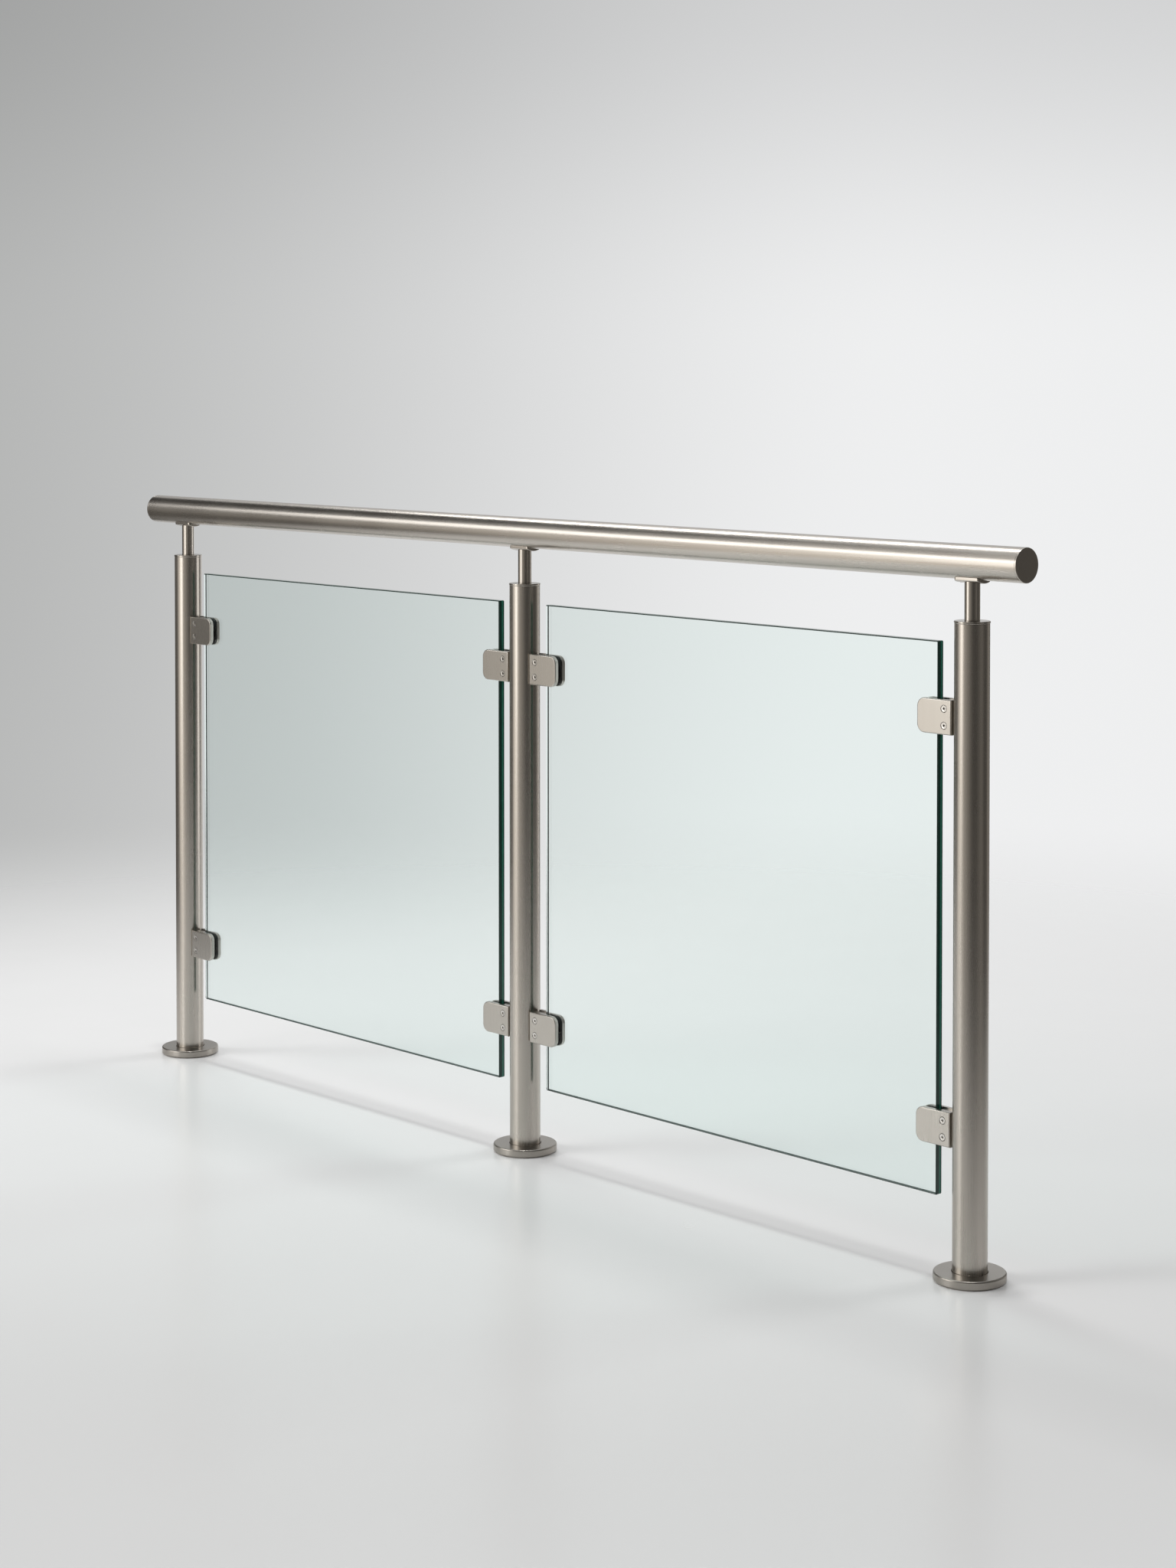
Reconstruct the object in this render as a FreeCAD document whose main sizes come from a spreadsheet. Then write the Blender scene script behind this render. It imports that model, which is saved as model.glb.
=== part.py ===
import FreeCAD, Part
import os
import re
import Sketcher

# Glass balustrade panel: three tube posts, two clamped glass panes and a round handrail.
# The origin is on the floor under the middle post, +X runs along the handrail, +Y is the back of the
# panel (the clamp screws face -Y) and +Z is up. Millimetres.

# Driving dimensions: the cell's name, its value in millimetres and what it measures.
SIZES = [
    ("post_spacing", 900, "between the axes of neighbouring posts"),
    ("rail_top", 1000, "top of the handrail above the floor"),
    ("rail_overhang", 93, "handrail end past the axis of an outer post"),
    ("post_diameter", 48.3, "post tube, outside"),
    ("post_wall", 2, "post tube, wall"),
    ("rail_diameter", 48.3, "handrail tube, outside"),
    ("rail_wall", 2, "handrail tube, wall"),
    ("cover_diameter", 100, "floor cover, outside"),
    ("cover_height", 13, "floor cover, height"),
    ("cover_sheet", 1.5, "floor cover, sheet thickness"),
    ("cover_fold", 1, "floor cover, inside radius of its fold"),
    ("cover_post_gap", 0.5, "floor cover's hole to the post"),
    ("plate_cover_gap", 2.5, "base plate's rim to the inside of the floor cover"),
    ("plate_thickness", 6, "base plate"),
    ("anchor_hole", 9, "base plate, hole for a floor anchor"),
    ("anchor_count", 4, "base plate, number of anchor holes"),
    ("cap_lip", 0.6, "post cap's rim past the post"),
    ("cap_rim", 3.2, "post cap, thickness of its rim"),
    ("cap_edge", 1.2, "post cap, rounding of its top edge"),
    ("cap_plug", 14, "post cap, depth of the plug in the post"),
    ("plug_gap", 0.15, "a plug or spigot to its bore"),
    ("stem_diameter", 21.3, "handrail stem"),
    ("stem_length", 51, "handrail stem, post cap to saddle"),
    ("stem_spigot_diameter", 12, "handrail stem, spigot in the post cap"),
    ("stem_spigot_length", 12, "handrail stem, depth of that spigot"),
    ("saddle_length", 44, "saddle, along the handrail"),
    ("saddle_width", 27, "saddle, across the handrail"),
    ("saddle_thickness", 4, "saddle plate"),
    ("saddle_corner", 4, "saddle, radius of its corners"),
    ("rail_seat_gap", 0.1, "saddle's seat to the handrail"),
    ("stem_seat_gap", 0.1, "stem's hollowed top to the saddle"),
    ("rail_cap_face", 3, "handrail end cap, thickness of its face"),
    ("rail_cap_edge", 1.2, "handrail end cap, rounding of its edge"),
    ("rail_cap_plug", 12, "handrail end cap, depth of its plug"),
    ("glass_thickness", 12, "pane"),
    ("glass_rail_gap", 86, "pane's upper edge to the handrail"),
    ("glass_foot_gap", 106, "floor to the pane's lower edge"),
    ("glass_side_gap", 30, "post's flank to the pane's edge"),
    ("glass_corner", 4, "pane, radius of its corners"),
    ("glass_arris", 0.8, "pane, bevel along its edges"),
    ("clamp_below_top", 102, "pane's upper edge to the middle of the upper clamps"),
    ("clamp_above_foot", 96, "pane's lower edge to the middle of the lower clamps"),
    ("clamp_height", 48, "clamp plates"),
    ("clamp_plate", 6.5, "clamp plates, thickness"),
    ("clamp_grip", 31, "clamp plates, overlap on the pane"),
    ("clamp_corner", 12, "clamp plates, corners on the pane"),
    ("clamp_edge", 1.8, "clamp plates, rounding of the outer edges"),
    ("clamp_post_gap", 1, "post's flank to the end of the clamp plates"),
    ("clamp_web_inset", 2, "clamp's web below the top of its plates"),
    ("web_glass_gap", 3, "clamp's web to the pane's edge"),
    ("clamp_seat_gap", 0.2, "clamp's hollowed foot to the post"),
    ("pad_thickness", 1.5, "rubber pad between plate and pane"),
    ("pad_inset", 1, "rubber pad inside the plate's outline"),
    ("cover_screw_diameter", 5, "clamp cover screw"),
    ("cover_screw_head", 10, "clamp cover screw, countersunk head"),
    ("cover_screw_length", 16, "clamp cover screw"),
    ("cover_screw_socket", 3, "clamp cover screw, across the flats of its socket"),
    ("cover_screw_inset", 12.5, "clamp cover screw to the plate's edge at the post"),
    ("cover_screw_spacing", 23, "between the two screws of a clamp cover"),
    ("fixing_screw_diameter", 8, "screw that fixes a clamp to its post"),
    ("fixing_screw_head", 13, "clamp fixing screw, cylinder head"),
    ("fixing_screw_head_height", 5, "clamp fixing screw, cylinder head"),
    ("fixing_screw_socket", 5, "clamp fixing screw, across the flats of its socket"),
    ("fixing_screw_recess", 0.5, "clamp fixing screw's head below the web's face"),
    ("nut_diameter", 11, "rivet nut, sleeve"),
    ("nut_length", 15, "rivet nut, sleeve"),
    ("nut_flange", 13, "rivet nut, flange outside the post and collar inside it"),
    ("nut_flange_thickness", 1.2, "rivet nut, flange"),
    ("nut_collar_length", 4, "rivet nut, collar that grips the post's wall"),
    ("rail_screw_diameter", 4, "screw from a saddle into the handrail"),
    ("rail_screw_head", 8, "handrail screw, countersunk head"),
    ("rail_screw_socket", 2.5, "handrail screw, across the flats of its socket"),
    ("stem_screw_diameter", 6, "screw from a saddle into its stem"),
    ("stem_screw_head", 12, "stem screw, countersunk head"),
    ("stem_screw_length", 16, "stem screw"),
    ("stem_screw_socket", 4, "stem screw, across the flats of its socket"),
    ("screw_tip", 3, "screw end past the thread that it goes through"),
    ("thread_gap", 0.1, "a screw, nut or head to its hole"),
]
ALIASES = {alias for alias, number, meaning in SIZES}

# Levels above the floor.
RAIL_AXIS = "(rail_top - rail_diameter / 2)"
SEAT_RADIUS = "(rail_diameter / 2 + rail_seat_gap)"
SADDLE_RADIUS = f"({SEAT_RADIUS} + saddle_thickness)"
CAP_TOP = f"({RAIL_AXIS} - {SADDLE_RADIUS} - stem_length)"
POST_TOP = f"({CAP_TOP} - cap_rim)"
GLASS_TOP = "(rail_top - rail_diameter - glass_rail_gap)"
CLAMP_LEVELS = {
    "lower": "(glass_foot_gap + clamp_above_foot)",
    "upper": f"({GLASS_TOP} - clamp_below_top)",
}

# Distances from a post's axis.
POST_RADIUS = "(post_diameter / 2)"
COVER_RADIUS = "(cover_diameter / 2)"
PLATE_RADIUS = f"({COVER_RADIUS} - cover_sheet - plate_cover_gap)"
ANCHOR_RADIUS = f"(({POST_RADIUS} + {PLATE_RADIUS}) / 2)"
GLASS_EDGE = f"({POST_RADIUS} + glass_side_gap)"
CLAMP_START = f"({POST_RADIUS} + clamp_post_gap)"
CLAMP_END = f"({GLASS_EDGE} + clamp_grip)"
WEB_END = f"({GLASS_EDGE} - web_glass_gap)"
COVER_SCREW_PLACE = f"({CLAMP_START} + cover_screw_inset)"
FIXING_SCREW_SEAT = f"({WEB_END} - fixing_screw_recess - fixing_screw_head_height)"
NUT_SEAT = f"({POST_RADIUS} + thread_gap)"
RAIL_SCREW_PLACE = "((stem_diameter + saddle_length) / 4)"

# Distances from the middle plane of the glass.
JAW = "(glass_thickness / 2 + pad_thickness)"
CLAMP_FACE = f"({JAW} + clamp_plate)"

POSTS = {"left": "-post_spacing", "middle": "0", "right": "post_spacing"}
PANES = {"left": "-post_spacing / 2", "right": "post_spacing / 2"}

# Clamps: where they sit, their post, and whether they are turned over to reach the other way.
CLAMP_PLACES = [
    ("left", "left", False),
    ("middle_left", "middle", True),
    ("middle_right", "middle", False),
    ("right", "right", True),
]
CLAMPS = [
    (f"{place}_{level}", POSTS[post], height, turned)
    for place, post, turned in CLAMP_PLACES
    for level, height in CLAMP_LEVELS.items()
]

AS_DRAWN = FreeCAD.Rotation()
TURNED_OVER = FreeCAD.Rotation(FreeCAD.Vector(0, 1, 0), 180)
TURNED_ROUND = FreeCAD.Rotation(FreeCAD.Vector(0, 0, 1), 180)
HEAD_TO_FRONT = FreeCAD.Rotation(FreeCAD.Vector(1, 0, 0), 90)
HEAD_TO_GLASS = FreeCAD.Rotation(FreeCAD.Vector(0, 1, 0), 90)
HEAD_DOWN = FreeCAD.Rotation(FreeCAD.Vector(1, 0, 0), 180)
HOLES_BETWEEN_AXES = FreeCAD.Rotation(FreeCAD.Vector(0, 0, 1), 45)
TOLERANCE = 1e-4

doc = FreeCAD.newDocument("glass_balustrade")
sheet = doc.addObject("Spreadsheet::Sheet", "Sizes")
for row, (alias, number, meaning) in enumerate(SIZES, 1):
    sheet.set(f"A{row}", alias)
    sheet.set(f"B{row}", str(number))
    sheet.set(f"C{row}", meaning)
    sheet.setAlias(f"B{row}", alias)
doc.recompute()

pieces = []


def formula(text):
    """The text with each size's name turned into its cell of the sheet."""
    return re.sub("[a-z_]+", lambda word: "Sizes." * (word[0] in ALIASES) + word[0], text)


def value(text):
    """What the text comes to with the sheet's present sizes."""
    return float(sheet.evalExpression(formula(text)))


def bind_place(thing, path, x, y, z):
    """Tie the three coordinates of a placement to the sheet."""
    for axis, place in zip("xyz", (x, y, z)):
        thing.setExpression(f"{path}.Base.{axis}", formula(place))


def new_body(label, x="0", y="0", z="0", rotation=AS_DRAWN):
    """An empty body at a place given by three formulas."""
    body = doc.addObject("PartDesign::Body", label)
    body.Label = label
    body.Placement = FreeCAD.Placement(FreeCAD.Vector(), rotation)
    bind_place(body, "Placement", x, y, z)
    return body


def new_piece(label, *place, **turn):
    """An empty body that becomes one piece of the balustrade."""
    piece = new_body(label, *place, **turn)
    pieces.append(piece)
    return piece


def origin_feature(body, role):
    """One of the body's own origin planes or axes."""
    return next(feature for feature in body.Origin.OriginFeatures if feature.Role == role)


def new_sketch(body, name, plane, offset="0"):
    """A sketch on one of the body's origin planes, moved along the plane's normal."""
    sketch = body.newObject("Sketcher::SketchObject", name)
    sketch.AttachmentSupport = [(origin_feature(body, plane), "")]
    sketch.MapMode = "FlatFace"
    bind_place(sketch, "AttachmentOffset", "0", "0", offset)
    return sketch


def dimension(sketch, text, kind, *where):
    """A dimension of the sketch, tied to the sheet."""
    number = sketch.addConstraint(Sketcher.Constraint(kind, *where, value(text)))
    sketch.setExpression(f"Constraints[{number}]", formula(text))


def pin_point(sketch, geometry, point, x, y):
    """Hold a point of the sketch at two formulas from its origin."""
    for axis, kind, place in ((-2, "DistanceX", x), (-1, "DistanceY", y)):
        if place == "0":
            sketch.addConstraint(Sketcher.Constraint("PointOnObject", geometry, point, axis))
        else:
            dimension(sketch, place, kind, -1, 1, geometry, point)


def draw_circle(sketch, radius, x="0", y="0"):
    """A circle with its radius and centre tied to the sheet."""
    centre = FreeCAD.Vector(value(x), value(y), 0)
    circle = sketch.addGeometry(Part.Circle(centre, FreeCAD.Vector(0, 0, 1), value(radius)))
    pin_point(sketch, circle, 3, x, y)
    dimension(sketch, radius, "Radius", circle)


def draw_outline(sketch, corners):
    """A closed outline of straight lines with every corner tied to the sheet."""
    points = [FreeCAD.Vector(value(x), value(y), 0) for x, y in corners]
    ends = points[1:] + points[:1]
    lines = [sketch.addGeometry(Part.LineSegment(*line)) for line in zip(points, ends)]
    for before, line, (x, y) in zip(lines[-1:] + lines, lines, corners):
        sketch.addConstraint(Sketcher.Constraint("Coincident", before, 2, line, 1))
        pin_point(sketch, line, 1, x, y)


def draw_rectangle(sketch, left, right, low, high):
    """A rectangle between four formulas."""
    draw_outline(sketch, [(left, low), (right, low), (right, high), (left, high)])


def pad(body, name, sketch, length, side="One side", reverse=False):
    """Material raised from a sketch."""
    feature = body.newObject("PartDesign::Pad", name)
    feature.Profile = sketch
    feature.SideType = side
    feature.Reversed = reverse
    feature.setExpression("Length", formula(length))
    return feature


def pocket(body, name, sketch, depth=None, side="One side", reverse=False):
    """Material cut away from a sketch against its normal, right through if no depth is given."""
    feature = body.newObject("PartDesign::Pocket", name)
    feature.Profile = sketch
    feature.SideType = side
    feature.Reversed = reverse
    if depth is None:
        feature.Type = "ThroughAll"
    else:
        feature.setExpression("Length", formula(depth))
    return feature


def turn(body, name, sketch, axis="V_Axis"):
    """A full turn of a section about an axis of its sketch."""
    feature = body.newObject("PartDesign::Revolution", name)
    feature.Profile = sketch
    feature.ReferenceAxis = (sketch, [axis])
    feature.Angle = 360
    return feature


def cut_cone(body, name, plane, place, low_radius, high_radius, height):
    """A cone cut away along the normal of an origin plane, its low end at the given place."""
    cone = body.newObject("PartDesign::SubtractiveCone", name)
    cone.AttachmentSupport = [(origin_feature(body, plane), "")]
    cone.MapMode = "FlatFace"
    bind_place(cone, "AttachmentOffset", *place)
    cone.setExpression("Radius1", formula(low_radius))
    cone.setExpression("Radius2", formula(high_radius))
    cone.setExpression("Height", formula(height))


def cut_socket(body, flats, top, depth):
    """A hexagon socket cut down into a screw head from its top."""
    prism = body.newObject("PartDesign::SubtractivePrism", "socket")
    prism.Polygon = 6
    prism.AttachmentSupport = [(origin_feature(body, "XY_Plane"), "")]
    prism.MapMode = "FlatFace"
    bind_place(prism, "AttachmentOffset", "0", "0", f"{top} - {depth}")
    prism.setExpression("Circumradius", formula(f"{flats} / sqrt(3)"))
    prism.setExpression("Height", formula(depth))


def dress_edges(body, kind, name, feature, size, wanted):
    """A Fillet or Chamfer on the feature's edges whose bounding box is the wanted kind."""
    doc.recompute()
    edges = enumerate(feature.Shape.Edges, 1)
    names = [f"Edge{number}" for number, edge in edges if wanted(edge.BoundBox)]
    dressing = body.newObject(f"PartDesign::{kind}", name)
    dressing.Base = (feature, names)
    dressing.setExpression("Radius" if kind == "Fillet" else "Size", formula(size))
    return dressing


def near(measure, text):
    """Whether a measured coordinate is at a formula's value."""
    return abs(measure - value(text)) < TOLERANCE


def level_ring(height, radius):
    """A test for a level circle about the vertical axis."""
    return lambda box: near(box.ZMin, height) and near(box.ZMax, height) and near(box.XMax, radius)


def make_post(place, x):
    """A post: drawn tube with a drilled hole for each rivet nut that holds a clamp."""
    post = new_piece(f"post_{place}", x)
    ring = new_sketch(post, "ring", "XY_Plane", "plate_thickness")
    draw_circle(ring, POST_RADIUS)
    draw_circle(ring, f"{POST_RADIUS} - post_wall")
    pad(post, "tube", ring, f"{POST_TOP} - plate_thickness")
    drilling = new_sketch(post, "nut_holes", "YZ_Plane")
    for height in CLAMP_LEVELS.values():
        draw_circle(drilling, "nut_diameter / 2 + thread_gap", "0", height)
    side = "Symmetric" if place == "middle" else "One side"
    pocket(post, "drilling", drilling, side=side, reverse=place == "left")


def make_base_plate(place, x):
    """A base plate: flat disc welded under the post, with the floor anchors' holes."""
    plate = new_piece(f"base_plate_{place}", x, rotation=HOLES_BETWEEN_AXES)
    outline = new_sketch(plate, "outline", "XY_Plane")
    draw_circle(outline, PLATE_RADIUS)
    pad(plate, "disc", outline, "plate_thickness")
    drilling = new_sketch(plate, "anchor_hole", "XY_Plane")
    draw_circle(drilling, "anchor_hole / 2", ANCHOR_RADIUS)
    hole = pocket(plate, "drilling", drilling, reverse=True)
    circle = plate.newObject("PartDesign::PolarPattern", "anchor_circle")
    circle.Originals = [hole]
    circle.Axis = (origin_feature(plate, "Z_Axis"), [""])
    circle.Angle = 360
    circle.setExpression("Occurrences", formula("anchor_count"))
    plate.Tip = circle


def make_base_cover(place, x):
    """A floor cover: pressed sheet dish, open below, that hides the base plate."""
    cover = new_piece(f"base_cover_{place}", x)
    hole = f"{POST_RADIUS} + cover_post_gap"
    inside = f"{COVER_RADIUS} - cover_sheet"
    ceiling = "cover_height - cover_sheet"
    section = new_sketch(cover, "section", "XZ_Plane")
    draw_outline(section, [
        (hole, ceiling), (inside, ceiling), (inside, "0"),
        (COVER_RADIUS, "0"), (COVER_RADIUS, "cover_height"), (hole, "cover_height"),
    ])
    dish = turn(cover, "dish", section)
    outer_fold = level_ring("cover_height", COVER_RADIUS)
    dish = dress_edges(cover, "Fillet", "outer_fold", dish, "cover_fold + cover_sheet", outer_fold)
    dress_edges(cover, "Fillet", "inner_fold", dish, "cover_fold", level_ring(ceiling, inside))


def make_post_cap(place, x):
    """A post cap: turned disc with a plug in the post and a bore for the stem's spigot."""
    cap = new_piece(f"post_cap_{place}", x, "0", POST_TOP)
    bore = "stem_spigot_diameter / 2 + plug_gap"
    plug = f"{POST_RADIUS} - post_wall - plug_gap"
    rim = f"{POST_RADIUS} + cap_lip"
    section = new_sketch(cap, "section", "XZ_Plane")
    draw_outline(section, [
        (bore, "-cap_plug"), (plug, "-cap_plug"), (plug, "0"),
        (rim, "0"), (rim, "cap_rim"), (bore, "cap_rim"),
    ])
    disc = turn(cap, "disc", section)
    top_edge = "min(cap_edge; cap_rim - cap_lip - thread_gap)"
    disc = dress_edges(cap, "Fillet", "top_edge", disc, top_edge, level_ring("cap_rim", rim))
    under_edge = "min(cap_lip; cap_rim / 3)"
    dress_edges(cap, "Fillet", "under_edge", disc, under_edge, level_ring("0", rim))


def make_rail_stem(place, x):
    """A handrail stem: round bar with a spigot below and its top hollowed to the saddle."""
    stem = new_piece(f"rail_stem_{place}", x, "0", CAP_TOP)
    bar = "stem_diameter / 2"
    spigot = "stem_spigot_diameter / 2"
    blank_top = "stem_length + saddle_thickness"
    section = new_sketch(stem, "section", "XZ_Plane")
    draw_outline(section, [
        ("0", "-stem_spigot_length"), (spigot, "-stem_spigot_length"), (spigot, "0"),
        (bar, "0"), (bar, blank_top), ("0", blank_top),
    ])
    turn(stem, "bar", section)
    hollow = new_sketch(stem, "hollow", "YZ_Plane")
    draw_circle(hollow, f"{SADDLE_RADIUS} + stem_seat_gap", "0", f"stem_length + {SADDLE_RADIUS}")
    pocket(stem, "hollowing", hollow, side="Symmetric")
    drilling = new_sketch(stem, "screw_hole", "XY_Plane", blank_top)
    draw_circle(drilling, "stem_screw_diameter / 2 + thread_gap")
    pocket(stem, "drilling", drilling, "stem_screw_length + screw_tip")


def make_rail_saddle(place, x):
    """A saddle: plate rolled to the handrail's underside, countersunk for its three screws."""
    saddle = new_piece(f"rail_saddle_{place}", x, "0", RAIL_AXIS)
    outline = new_sketch(saddle, "outline", "XY_Plane")
    half_length = "saddle_length / 2"
    half_width = "saddle_width / 2"
    draw_rectangle(outline, f"-{half_length}", half_length, f"-{half_width}", half_width)
    blank = pad(saddle, "blank", outline, SADDLE_RADIUS, reverse=True)
    corner = "min(saddle_corner; saddle_width / 2 - thread_gap)"
    dress_edges(saddle, "Fillet", "corners", blank, corner, lambda box: box.ZLength > TOLERANCE)
    seat = new_sketch(saddle, "seat", "YZ_Plane")
    draw_circle(seat, SEAT_RADIUS)
    pocket(saddle, "rolled_seat", seat, side="Symmetric")
    waste = new_sketch(saddle, "waste", "YZ_Plane")
    outside = f"({SADDLE_RADIUS} + saddle_width)"
    draw_rectangle(waste, f"-{outside}", outside, f"-{outside}", outside)
    draw_circle(waste, SADDLE_RADIUS)
    pocket(saddle, "rolled_underside", waste, side="Symmetric")

    drilling = new_sketch(saddle, "screw_holes", "XY_Plane")
    stem_hole = "stem_screw_diameter / 2 + thread_gap"
    rail_hole = "rail_screw_diameter / 2 + thread_gap"
    draw_circle(drilling, stem_hole)
    rail_screw_places = (f"-{RAIL_SCREW_PLACE}", RAIL_SCREW_PLACE)
    for screw_place in rail_screw_places:
        draw_circle(drilling, rail_hole, screw_place)
    pocket(saddle, "drilling", drilling)
    stem_head = "stem_screw_head / 2 + thread_gap"
    stem_sink = "(stem_screw_head - stem_screw_diameter) / 2"
    head_room = new_sketch(saddle, "head_room", "XY_Plane")
    draw_circle(head_room, stem_head)
    pocket(saddle, "stem_head_room", head_room, SEAT_RADIUS)
    stem_cone_foot = ("0", "0", f"-{SEAT_RADIUS} - {stem_sink}")
    cut_cone(saddle, "stem_sink", "XY_Plane", stem_cone_foot, stem_hole, stem_head, stem_sink)
    rail_head = "rail_screw_head / 2 + thread_gap"
    rail_sink = "(rail_screw_head - rail_screw_diameter) / 2"
    for screw_place in rail_screw_places:
        rail_cone_foot = (screw_place, "0", f"-{SADDLE_RADIUS}")
        cut_cone(saddle, "rail_sink", "XY_Plane", rail_cone_foot, rail_head, rail_hole, rail_sink)


def make_handrail():
    """The handrail: one drawn tube, drilled underneath for the saddles' screws."""
    rail = new_piece("handrail", "0", "0", RAIL_AXIS)
    ring = new_sketch(rail, "ring", "YZ_Plane")
    draw_circle(ring, "rail_diameter / 2")
    draw_circle(ring, "rail_diameter / 2 - rail_wall")
    pad(rail, "tube", ring, "2 * (post_spacing + rail_overhang - rail_cap_face)", side="Symmetric")
    drilling = new_sketch(rail, "screw_holes", "XY_Plane")
    for x in POSTS.values():
        for step in "-+":
            screw_place = f"{x} {step} {RAIL_SCREW_PLACE}"
            draw_circle(drilling, "rail_screw_diameter / 2 + thread_gap", screw_place)
    pocket(rail, "drilling", drilling)


def make_rail_end_cap(place, x, rotation):
    """A handrail end cap: turned disc with a plug in the tube."""
    cap = new_piece(f"rail_end_cap_{place}", x, "0", RAIL_AXIS, rotation=rotation)
    plug = "rail_diameter / 2 - rail_wall - plug_gap"
    section = new_sketch(cap, "section", "XZ_Plane")
    draw_outline(section, [
        ("-rail_cap_plug", "0"), ("-rail_cap_plug", plug), ("0", plug),
        ("0", "rail_diameter / 2"), ("rail_cap_face", "rail_diameter / 2"), ("rail_cap_face", "0"),
    ])
    disc = turn(cap, "disc", section, axis="H_Axis")
    edge = "min(rail_cap_edge; rail_cap_face - thread_gap)"

    def face_rim(box):
        return near(box.XMin, "rail_cap_face") and near(box.ZMax, "rail_diameter / 2")

    dress_edges(cap, "Fillet", "face_edge", disc, edge, face_rim)


def make_pane(place, x):
    """A glass pane with rounded corners and bevelled edges."""
    pane = new_piece(f"glass_{place}", x, "0", "glass_foot_gap")
    half = f"(post_spacing / 2 - {GLASS_EDGE})"
    outline = new_sketch(pane, "outline", "XZ_Plane")
    draw_rectangle(outline, f"-{half}", half, "0", f"{GLASS_TOP} - glass_foot_gap")
    plate = pad(pane, "plate", outline, "glass_thickness", side="Symmetric")
    plate = dress_edges(pane, "Fillet", "corners", plate, "glass_corner",
                        lambda box: box.YLength > TOLERANCE)
    arris = "min(glass_arris; glass_thickness / 3)"
    dress_edges(pane, "Chamfer", "arris", plate, arris, lambda box: box.YLength < TOLERANCE)


def clamp_plate(piece, inner_face):
    """A clamp's plate, its inner face given along the front normal, with soft outer edges."""
    outline = new_sketch(piece, "outline", "XZ_Plane", inner_face)
    draw_rectangle(outline, CLAMP_START, CLAMP_END, "-clamp_height / 2", "clamp_height / 2")
    to_back = inner_face.startswith("-")
    plate = pad(piece, "plate", outline, "clamp_plate", reverse=to_back)
    corner = "min(clamp_corner; clamp_height / 2 - clamp_edge - thread_gap)"

    def pane_corner(box):
        return box.YLength > TOLERANCE and near(box.XMin, CLAMP_END)

    plate = dress_edges(piece, "Fillet", "corners", plate, corner, pane_corner)
    outer_face = CLAMP_FACE if to_back else f"-{CLAMP_FACE}"

    def outer_edge(box):
        return near(box.YMin, outer_face) and near(box.YMax, outer_face)

    edge = "min(clamp_edge; clamp_plate / 2)"
    dress_edges(piece, "Fillet", "outer_edges", plate, edge, outer_edge)


def make_clamp_body(name, x, z, rotation):
    """A clamp's rear half: plate and web cast in one, its foot hollowed to sit on the post."""
    body = new_piece(f"clamp_body_{name}", x, "0", z, rotation=rotation)
    clamp_plate(body, f"-{JAW}")
    web_half = "(clamp_height / 2 - clamp_web_inset)"
    web = new_sketch(body, "web_outline", "XZ_Plane", f"-{JAW}")
    draw_rectangle(web, "0", WEB_END, f"-{web_half}", web_half)
    pad(body, "web", web, f"2 * {JAW}")
    foot = new_sketch(body, "foot", "XY_Plane")
    draw_circle(foot, f"{POST_RADIUS} + clamp_seat_gap")
    pocket(body, "hollowed_foot", foot, side="Symmetric")

    passage = new_sketch(body, "fixing_hole", "YZ_Plane")
    draw_circle(passage, "fixing_screw_diameter / 2 + thread_gap")
    pocket(body, "fixing_drilling", passage, reverse=True)
    counterbore = new_sketch(body, "head_room", "YZ_Plane", FIXING_SCREW_SEAT)
    draw_circle(counterbore, "fixing_screw_head / 2 + thread_gap")
    pocket(body, "head_counterbore", counterbore, reverse=True)
    recess = new_sketch(body, "flange_room", "YZ_Plane")
    draw_circle(recess, "nut_flange / 2 + thread_gap")
    flange_depth = f"{NUT_SEAT} + nut_flange_thickness + thread_gap"
    pocket(body, "flange_recess", recess, flange_depth, reverse=True)
    threads = new_sketch(body, "cover_screw_holes", "XZ_Plane", JAW)
    for height in ("-cover_screw_spacing / 2", "cover_screw_spacing / 2"):
        draw_circle(threads, "cover_screw_diameter / 2 + thread_gap", COVER_SCREW_PLACE, height)
    pocket(body, "cover_screw_drilling", threads, "cover_screw_length - clamp_plate + thread_gap")


def make_clamp_cover(name, x, z, rotation):
    """A clamp's front half: loose plate, countersunk for its two screws."""
    cover = new_piece(f"clamp_cover_{name}", x, "0", z, rotation=rotation)
    clamp_plate(cover, JAW)
    hole = "cover_screw_diameter / 2 + thread_gap"
    head = "cover_screw_head / 2 + thread_gap"
    sink = "((cover_screw_head - cover_screw_diameter) / 2)"
    drilling = new_sketch(cover, "screw_holes", "XZ_Plane", CLAMP_FACE)
    heights = ("-cover_screw_spacing / 2", "cover_screw_spacing / 2")
    for height in heights:
        draw_circle(drilling, hole, COVER_SCREW_PLACE, height)
    pocket(cover, "drilling", drilling)
    for height in heights:
        foot = (COVER_SCREW_PLACE, height, f"{CLAMP_FACE} - {sink}")
        cut_cone(cover, "screw_sink", "XZ_Plane", foot, hole, head, sink)


def make_clamp_pad(side, name, x, z, rotation):
    """A rubber pad between a clamp's plate and the pane."""
    rubber = new_piece(f"clamp_pad_{side}_{name}", x, "0", z, rotation=rotation)
    half = "(clamp_height / 2 - pad_inset)"
    end = f"({CLAMP_END} - pad_inset)"
    inner_face = JAW if side == "front" else "-glass_thickness / 2"
    outline = new_sketch(rubber, "outline", "XZ_Plane", inner_face)
    draw_rectangle(outline, f"{WEB_END} + pad_inset", end, f"-{half}", half)
    sheet_rubber = pad(rubber, "rubber", outline, "pad_thickness", reverse=True)
    corner = f"min(max(clamp_corner - pad_inset; pad_inset); {half} - thread_gap)"

    def pane_corner(box):
        return box.YLength > TOLERANCE and near(box.XMin, end)

    dress_edges(rubber, "Fillet", "corners", sheet_rubber, corner, pane_corner)


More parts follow.
